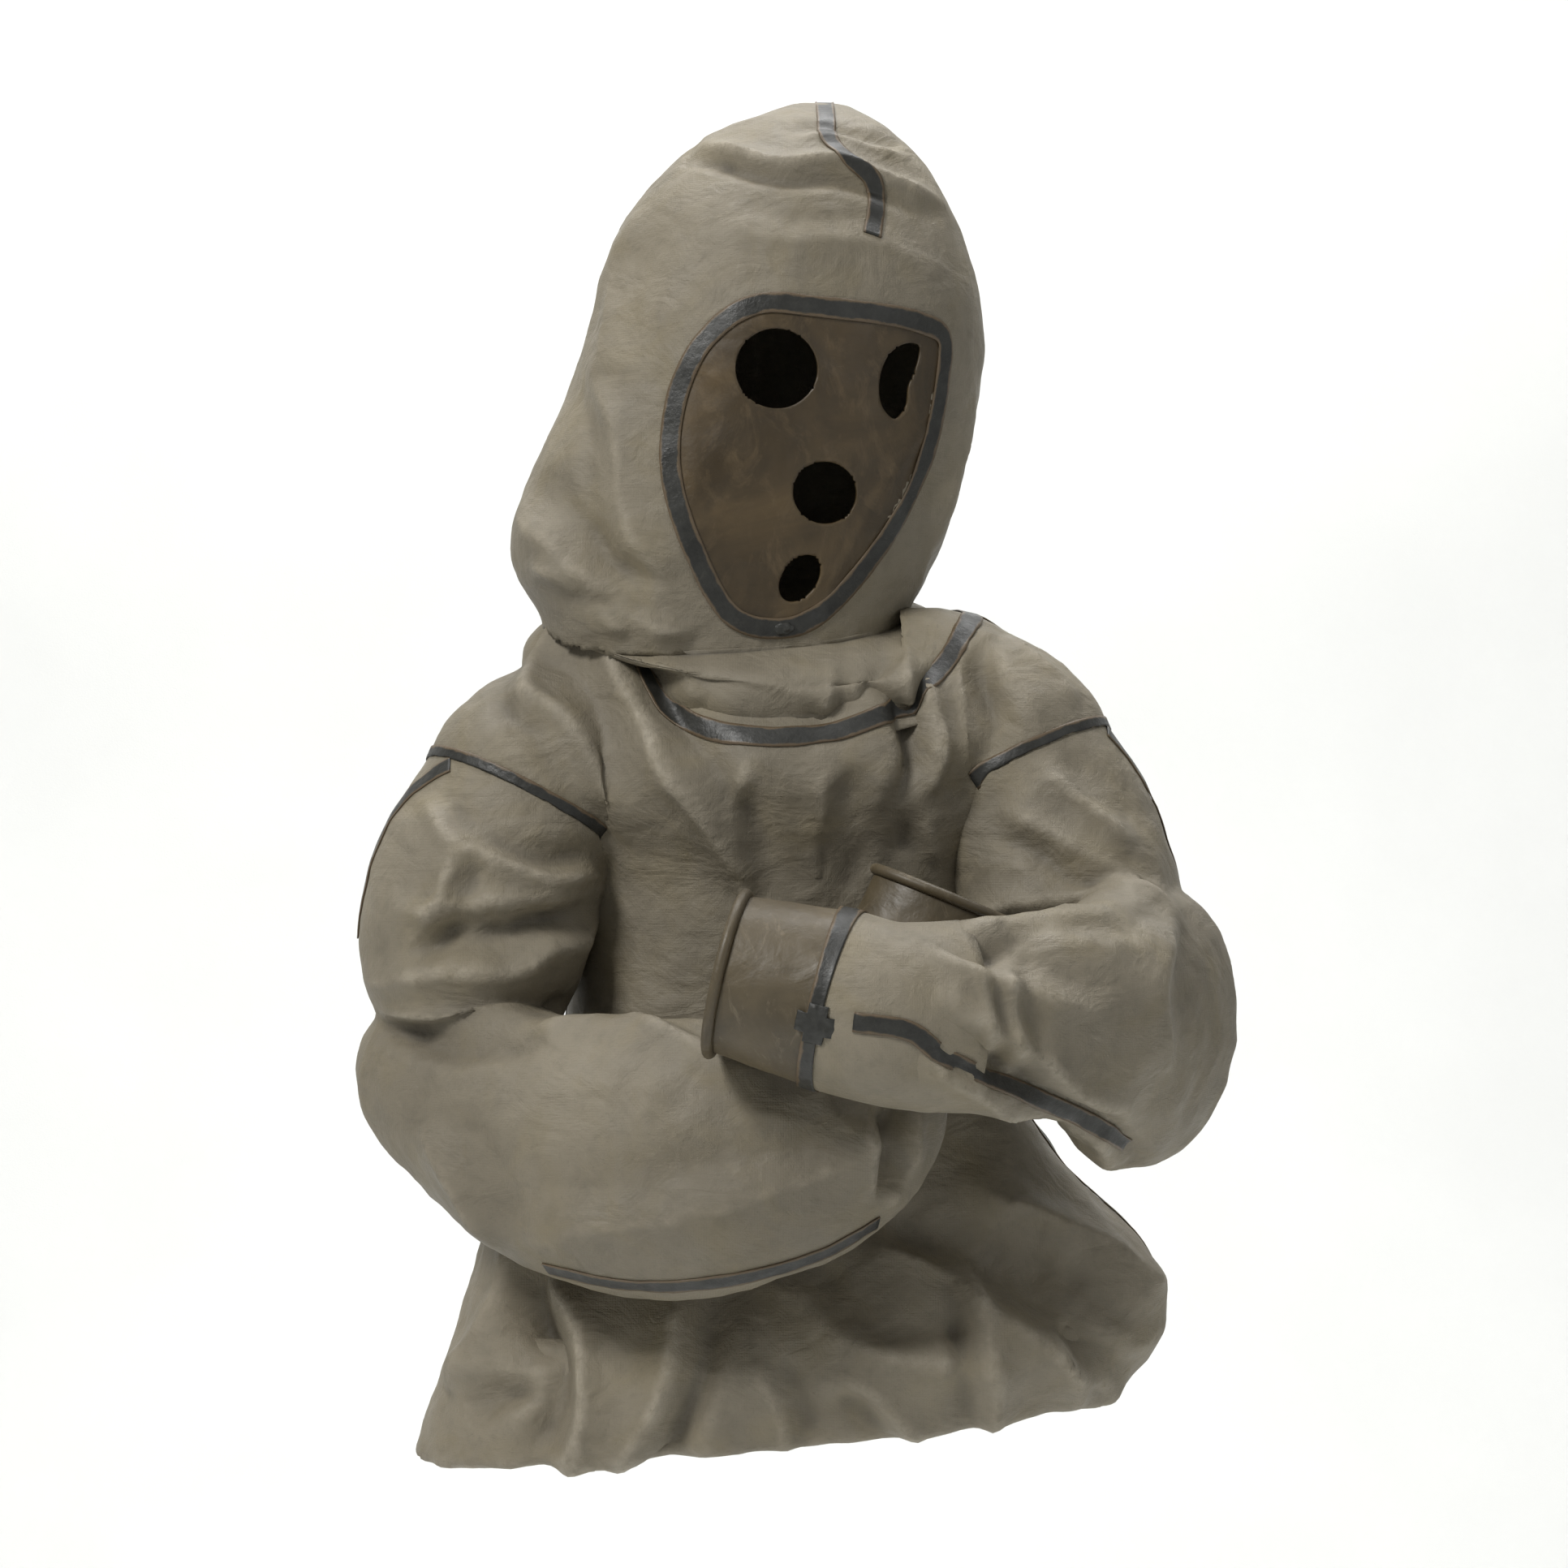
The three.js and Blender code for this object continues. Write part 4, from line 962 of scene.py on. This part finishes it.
def build_hood():
    """The hood's cloth, its rubber face panel with cut holes, and the tapes round it."""
    bm = skin_of([loft(HOOD, 0, 1, 60, 96, drawn=(12, 0), capped=True)], 4.0, 5)
    press_folds(bm, HOOD_FOLDS, 0.85, [(HOOD.centre(0), np.array((0, 0.05, 1.0)), 20)])
    full = new_object("hood_cloth", bm)
    tree = SKINS["hood"] = tree_of(full)
    bm = bmesh.new()
    bm.from_mesh(full.data)
    outline = smooth_outline(FACE_OUTLINE, 120)
    gone = []
    for face in bm.faces:
        x, y, z = pick_up([face.calc_center_median()])[0]
        foot = HOOD_BASE - 10 + 0.3 * (y - 4)
        if z < foot - 1:
            gone.append(face)
        elif y < -20 and abs(x - 16) < 96 and abs(z - 697) < 112 and inside(outline, x, z) and edge_distance(outline, x, z) > 5:
            gone.append(face)
    bmesh.ops.delete(bm, geom=gone, context="FACES")
    bmesh.ops.delete(bm, geom=[v for v in bm.verts if not v.link_faces], context="VERTS")
    bm.to_mesh(full.data)
    bm.free()
    finish_piece(full, CANVAS(), 1.6)
    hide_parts("hood_right_panel", "hood_left_panel")
    hood_bends(full)
    build_face_panel(tree, outline)
    loop = [from_front(tree, x, z)[0] for x, z in outline]
    tape = ribbon("face_ring_tape", loop, 14.5, tree, closed=True)
    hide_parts("face_tape")
    hood_bends(tape)
    nub = bmesh.new()
    bmesh.ops.create_icosphere(nub, subdivisions=4, radius=1.0)
    place, normal = from_front(tree, -2, 588)
    for vert in nub.verts:
        lumpy = 1 + 0.18 * noise.noise(vert.co * 2.2)
        vert.co = place + Vector((vert.co.x * 9, vert.co.y * 3.0, vert.co.z * 5)) * (lumpy * MILLIMETRE)
    nub_obj = new_object("chin_tape_nub", nub)
    finish_piece(nub_obj, TAPE(), ridge_wear_and_hollow_shade=False)
    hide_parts("chin_tape_patch")
    hood_bends(nub_obj)
    front = front_line(tree, [(60, 856), (63, 880), (60, 898), (44, 912), (31, 926), (29, 946)])
    over = [set_down(p) for p in ((28, 0, 958), (24, 30, 950), (14, 64, 928), (2, 96, 892), (-8, 112, 850))]
    over = [tree.find_nearest(p)[0] for p in over]
    crown = ribbon("crown_seam_tape", front + over, 13, tree)
    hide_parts("crown_tape")
    hood_bends(crown)


FACE_OUTLINE = [
    (-20, 806), (25, 805), (92, 798), (109, 790), (109, 762), (96, 703), (68, 648), (24, 598),
    (-2, 588), (-34, 595), (-61, 640), (-75, 682), (-77, 714), (-70, 752), (-52, 784),
]
SIDE_EYE = [(93, 782), (84, 783), (72, 775), (65, 757), (67, 739), (76, 731), (84, 740), (86, 754), (91, 766)]


def smooth_outline(points, count):
    """A closed smooth outline through the points."""
    ring = [np.array(p, float) for p in points]
    line = ring[-2:] + ring + ring[:3]
    share = [(2 + len(ring) * i / count) / (len(line) - 1) for i in range(count)]
    return [along_curve(line, s, False) for s in share]


def oval_outline(x, z, half, high, lean, count=72):
    turns = [2 * math.pi * i / count for i in range(count)]
    c, s = math.cos(lean), math.sin(lean)
    flat = [(half * math.cos(t), high * math.sin(t)) for t in turns]
    return [np.array((x + p * c - q * s, z + p * s + q * c)) for p, q in flat]


def inside(outline, x, z):
    """Whether a point lies inside a closed outline."""
    now = np.asarray(outline)
    last = np.roll(now, 1, axis=0)
    crosses = (now[:, 1] > z) != (last[:, 1] > z)
    rise = np.where(crosses, last[:, 1] - now[:, 1], 1)
    past = x < (last[:, 0] - now[:, 0]) * (z - now[:, 1]) / rise + now[:, 0]
    return bool(np.count_nonzero(crosses & past) % 2)


def nearest_on(outline, x, z):
    """The nearest point of a closed outline, and how far away it is."""
    one = np.asarray(outline)
    run = np.roll(one, -1, axis=0) - one
    offset = np.array((x, z)) - one
    share = np.clip((offset * run).sum(1) / np.maximum((run * run).sum(1), 1e-9), 0, 1)
    spots = one + share[:, None] * run
    distances = np.hypot(spots[:, 0] - x, spots[:, 1] - z)
    best = int(distances.argmin())
    return spots[best], distances[best]


def edge_distance(outline, x, z):
    return nearest_on(outline, x, z)[1]


def build_face_panel(tree, outline):
    """The rubber sheet over the face, with two eye holes, a nose hole and a small mouth hole."""
    eye = bpy.context.scene.smock_sizes.eye_radius / MILLIMETRE
    holes = [
        oval_outline(-5, 763, eye, eye - 1, 0),
        smooth_outline(SIDE_EYE, 60),
        oval_outline(28, 680, 22, 21, 0),
        oval_outline(11, 622, 18, 12, math.radians(52)),
    ]
    bm = bmesh.new()
    step = 1.8
    bmesh.ops.create_grid(bm, x_segments=int(200 / step), y_segments=int(232 / step), size=1.0)
    gone = []
    for vert in bm.verts:
        x, z = 16 + vert.co.x * 100, 697 + vert.co.y * 116
        if not inside(outline, x, z) and edge_distance(outline, x, z) > 4:
            gone.append(vert)
            continue
        for hole in holes:
            if np.hypot(*(np.mean(hole, axis=0) - (x, z))) > 50:
                continue
            spot, distance = nearest_on(hole, x, z)
            if inside(hole, x, z):
                if distance > 0.72 * step:
                    gone.append(vert)
                else:
                    x, z = spot
            elif distance < 0.45 * step:
                x, z = spot
        place, normal = from_front(tree, x, z)
        crease = line_distance(np.array([(x, z)]), [(96, 724), (60, 672), (20, 590)])[0][0]
        vert.co = place + Vector((0, -1, 0)) * (1.4 * math.exp(-(crease / 4) ** 2) * MILLIMETRE)
    bmesh.ops.delete(bm, geom=list(dict.fromkeys(gone)), context="VERTS")
    bm.normal_update()
    if sum(f.normal.y for f in bm.faces) > 0:
        bmesh.ops.reverse_faces(bm, faces=bm.faces)
    obj = new_object("face_rubber_panel", bm)
    finish_piece(obj, FACE_RUBBER(), 2.0, ridge_wear_and_hollow_shade=False)
    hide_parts("face_panel")
    hood_bends(obj)


def build_neck_skirt():
    """The slack foot of the hood, rolled under the chin and cemented round the neckline."""
    bm = loft(SKIRT, 0, 1, 34, 260, drawn=(14, 3))
    press_folds(bm, SKIRT_FOLDS, 0.5, [(SKIRT.centre(1), np.array((0, -0.3, 1.0)), 16)])
    obj = new_object("neck_skirt_cloth", bm)
    finish_piece(obj, CANVAS(), 1.6)
    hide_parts("neck_skirt")
    skirt_bends(obj)


def build_seam_tapes():
    """The cemented tapes round the neckline and armholes and along the shoulders, sides and sleeves."""
    skin = SKINS["smock"]
    turns = np.linspace(-math.pi, math.pi, 49)[:-1]
    for name, node, grow, width, lift, material in (
        ("neckline_seam_tape", "neckline_tape", 12.5, 14.5, 0.4, None),
        ("neckline_inner_strip", "neckline_backing_strip", 15, 24, -4.0, CANVAS()),
    ):
        spots = []
        for point in SKIRT.ring(0, turns, grow):
            start = set_down(point + np.array((0, 0, 60)))
            hit = skin.ray_cast(start, Vector((0, 0, -1)))[0]
            if hit is None or hit.z < set_down(point).z - 0.014:
                hit = skin.find_nearest(set_down(point - np.array((0, 0, 6))))[0]
            spots.append(hit)
        for _ in range(5):
            spots = [(a + 2 * b + c) / 4 for a, b, c in zip(spots[-1:] + spots[:-1], spots, spots[1:] + spots[:1])]
        obj = ribbon(name, spots, width, skin, lift, closed=True, material=material)
        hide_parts(node)
        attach(obj, "smock")
    for side, sign, arm, low in (("right", -1, RIGHT_ARM, RIGHT_FOREARM), ("left", 1, LEFT_ARM, LEFT_FOREARM)):
        seam, lean = (RIGHT_SEAM, RIGHT_LEAN) if side == "right" else (LEFT_SEAM, LEFT_LEAN)
        ring = longest_run(arm.ring(ARMHOLE_SHARE - 0.012, turns))
        obj = ribbon(f"{side}_armhole_seam_tape", [skin.find_nearest(set_down(p))[0] for p in ring], 14.5, skin)
        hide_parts(f"{side}_armhole_tape")
        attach(obj, "smock")
        shoulder = [(sign * x, 12, z) for x, z in ((124, 600), (140, 585), (165, 560), (190, 530), (205, 505))]
        shoulder = shoulder[2:] if side == "right" else shoulder
        obj = ribbon(f"{side}_shoulder_seam_tape", [skin.find_nearest(set_down(p))[0] for p in shoulder], 13, skin)
        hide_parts(f"{side}_shoulder_tape")
        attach(obj, "smock")
        flank = [(sign * 300, 12, z) for z in (330, 280, 230, 180, 130, 90, 56)]
        obj = ribbon(f"{side}_side_seam_tape", drop_in(skin, flank, sign), 13, skin)
        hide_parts(f"{side}_side_tape")
        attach(obj, "smock")
        sleeve = SKINS[side]
        back = arm_back_line(arm, side)
        obj = ribbon(f"{side}_elbow_seam_tape", [sleeve.find_nearest(set_down(p))[0] for p in back], 13, sleeve)
        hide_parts(f"{side}_elbow_tape")
        sleeve_bends(obj)
        if side == "right":
            line = [(-158, 160), (-110, 152), (-58, 153), (19, 170), (62, 192)]
        else:
            line = [(44, 331), (80, 325), (101, 309), (156, 282), (200, 260), (228, 243)]
        obj = ribbon(f"{side}_forearm_seam_tape", front_line(SKINS[f"{side}_low"], line), 13, SKINS[f"{side}_low"])
        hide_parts(f"{side}_sleeve_seam_tape")
        sleeve_bends(obj)


def longest_run(points):
    """The longest part of a closed ring that stands clear of the torso."""
    clear = [past_torso(p) > 2 for p in points]
    if all(clear):
        return list(points) + [points[0]]
    start = next(i for i in range(len(points)) if clear[i] and not clear[i - 1])
    turned = [(start + i) % len(points) for i in range(len(points))]
    runs, now = [], []
    for i in turned:
        if clear[i]:
            now.append(points[i])
        elif now:
            runs.append(now)
            now = []
    if now:
        runs.append(now)
    return max(runs, key=len)


def drop_in(skin, points, sign):
    """Points on the cloth met from the side, or from above where the shoulder faces up."""
    spots = []
    for x, y, z in points:
        hit = skin.ray_cast(set_down((sign * 500, y, z)), Vector((-sign, 0, 0)))[0]
        spots.append(hit if hit is not None else skin.find_nearest(set_down((x, y, z)))[0])
    return spots


def arm_back_line(arm, side):
    """The seam down the back of the upper sleeve to the elbow."""
    low, high = (-2.4, -1.6) if side == "right" else (2.0, 1.5)
    return [arm.ring(0.46 + 0.34 * i / 9, np.array([low + (high - low) * i / 9]))[0] for i in range(10)]


def build_stage():
    """A pale sweep behind and under the smock, soft studio lights and the camera."""
    bm = bmesh.new()
    floor = -1.45
    edge = [bm.verts.new(Vector((-7, y, z))) for y, z in ((-7, floor), (3.6, floor), (3.6, 5.5))]
    edges = [bm.edges.new(pair) for pair in zip(edge, edge[1:])]
    drawn = bmesh.ops.extrude_edge_only(bm, edges=edges)["geom"]
    bmesh.ops.translate(bm, verts=[g for g in drawn if isinstance(g, bmesh.types.BMVert)], vec=Vector((14, 0, 0)))
    corner = [e for e in bm.edges if all(abs(v.co.y - 3.6) < 1e-6 and abs(v.co.z - floor) < 1e-6 for v in e.verts)]
    bmesh.ops.bevel(bm, geom=corner, offset=1.6, offset_type="OFFSET", segments=16, profile=0.5,
                    affect="EDGES", material=-1)
    bmesh.ops.recalc_face_normals(bm, faces=bm.faces)
    sweep = new_object("pale_sweep", bm)
    g = Graph("pale_paper")
    tone = g.mix(g.spread(g.noise(3, 2), 0.3, 0.7), (0.8, 0.805, 0.79), (0.83, 0.835, 0.82))
    sweep.data.materials.append(g.finish(tone, g.spread(g.noise(5, 2), 0.3, 0.7, 0.85, 0.95), g.bump(g.noise(400), 0.0002)))
    sweep.data.shade_smooth()
    for name, place, power, size, warmth in (
        ("key_light", (-2.1, -2.6, 2.5), 122, 1.1, (1, 0.99, 0.97)),
        ("fill_light", (2.8, -2.2, 0.8), 12, 2.4, (0.97, 0.98, 1)),
        ("top_light", (0.2, 0.4, 2.9), 44, 2.0, (1, 1, 1)),
        ("sweep_light", (0, 1.4, 2.6), 95, 3.0, (1, 1, 1)),
    ):
        data = bpy.data.lights.new(name, "AREA")
        data.energy, data.size, data.color = power, size, warmth
        light = bpy.data.objects.new(name, data)
        light.location = place
        aim = Vector((0, 0, -0.1)) if name != "sweep_light" else Vector((0, 3.2, -0.6))
        light.rotation_euler = (aim - light.location).to_track_quat("-Z", "Y").to_euler()
        bpy.context.scene.collection.objects.link(light)
    world = bpy.data.worlds.new("studio")
    world.use_nodes = True
    world.node_tree.nodes["Background"].inputs["Color"].default_value = (0.93, 0.94, 0.93, 1)
    world.node_tree.nodes["Background"].inputs["Strength"].default_value = 0.27
    bpy.context.scene.world = world
    middle = (CAD_BOX[0][2] + CAD_BOX[1][2]) / 2
    data = bpy.data.cameras.new("studio_camera")
    camera = bpy.data.objects.new("studio_camera", data)
    distance, depth = 3.3, -0.12
    view = 1.063
    data.sensor_width = 36
    data.lens = data.sensor_width * distance / view
    camera.location = (0, depth - distance, middle - 0.002)
    camera.rotation_euler = (math.radians(90), 0, 0)
    bpy.context.scene.collection.objects.link(camera)
    bpy.context.scene.camera = camera
    bpy.context.scene.view_settings.view_transform = "Standard"


# ---- The add-on ----


class SmockSizes(bpy.types.PropertyGroup):
    """Sizes that a user may change."""

    eye_radius: bpy.props.FloatProperty(
        name="Eye hole", description="Radius of the round eye hole", default=0.028, unit="LENGTH")


class SmockColours(bpy.types.PropertyGroup):
    """Colours that a user may change."""

    canvas: bpy.props.FloatVectorProperty(
        name="Canvas", description="Rubberised canvas", subtype="COLOR", default=(0.213, 0.186, 0.137))
    tape: bpy.props.FloatVectorProperty(
        name="Tape", description="Seam tape", subtype="COLOR", default=(0.014, 0.014, 0.012))
    face_rubber: bpy.props.FloatVectorProperty(
        name="Face rubber", description="Sheet rubber of the face panel", subtype="COLOR", default=(0.042, 0.028, 0.012))
    cuff_rubber: bpy.props.FloatVectorProperty(
        name="Cuff rubber", description="Moulded rubber of the cuffs", subtype="COLOR", default=(0.088, 0.068, 0.038))


def operator_for(word, label, build):
    """An operator that makes one piece or one group of like pieces."""

    def execute(self, context):
        build()
        return {"FINISHED"}

    return type(f"SMOCK_OT_{word}", (bpy.types.Operator,), {
        "__doc__": build.__doc__,
        "bl_idname": f"smock.{word}",
        "bl_label": label,
        "execute": execute,
    })


def build_sleeves():
    """Both sleeves."""
    for side in ("right", "left"):
        build_sleeve(side)


def build_cuffs():
    """Both cuffs with their bands, beads and tapes."""
    for side in ("right", "left"):
        build_cuff(side)


STEPS = (
    ("body", "Body", build_smock_cloth),
    ("hem", "Hem facing", build_hem_facing),
    ("sleeves", "Sleeves", build_sleeves),
    ("cuffs", "Cuffs", build_cuffs),
    ("neck", "Neck skirt", build_neck_skirt),
    ("hood", "Hood and face panel", build_hood),
    ("tapes", "Seam tapes", build_seam_tapes),
    ("stage", "Stage", build_stage),
)
OPERATORS = [operator_for(*step) for step in STEPS]


class SMOCK_PT_panel(bpy.types.Panel):
    """Lists the smock's pieces in the sidebar."""

    bl_label = "Hooded Smock"
    bl_space_type = "VIEW_3D"
    bl_region_type = "UI"
    bl_category = "Smock"

    def draw(self, context):
        scene = context.scene
        self.layout.prop(scene.smock_sizes, "eye_radius")
        for name in ("canvas", "tape", "face_rubber", "cuff_rubber"):
            self.layout.prop(scene.smock_colours, name)
        for operator in OPERATORS:
            self.layout.operator(operator.bl_idname)


CLASSES = (SmockSizes, SmockColours, *OPERATORS, SMOCK_PT_panel)


def register():
    for cls in CLASSES:
        bpy.utils.register_class(cls)
    bpy.types.Scene.smock_sizes = bpy.props.PointerProperty(type=SmockSizes)
    bpy.types.Scene.smock_colours = bpy.props.PointerProperty(type=SmockColours)


def unregister():
    del bpy.types.Scene.smock_colours
    del bpy.types.Scene.smock_sizes
    for cls in reversed(CLASSES):
        bpy.utils.unregister_class(cls)


def main():
    register()
    for word, _, _ in STEPS:
        getattr(bpy.ops.smock, word)()


if __name__ == "__main__":
    main()
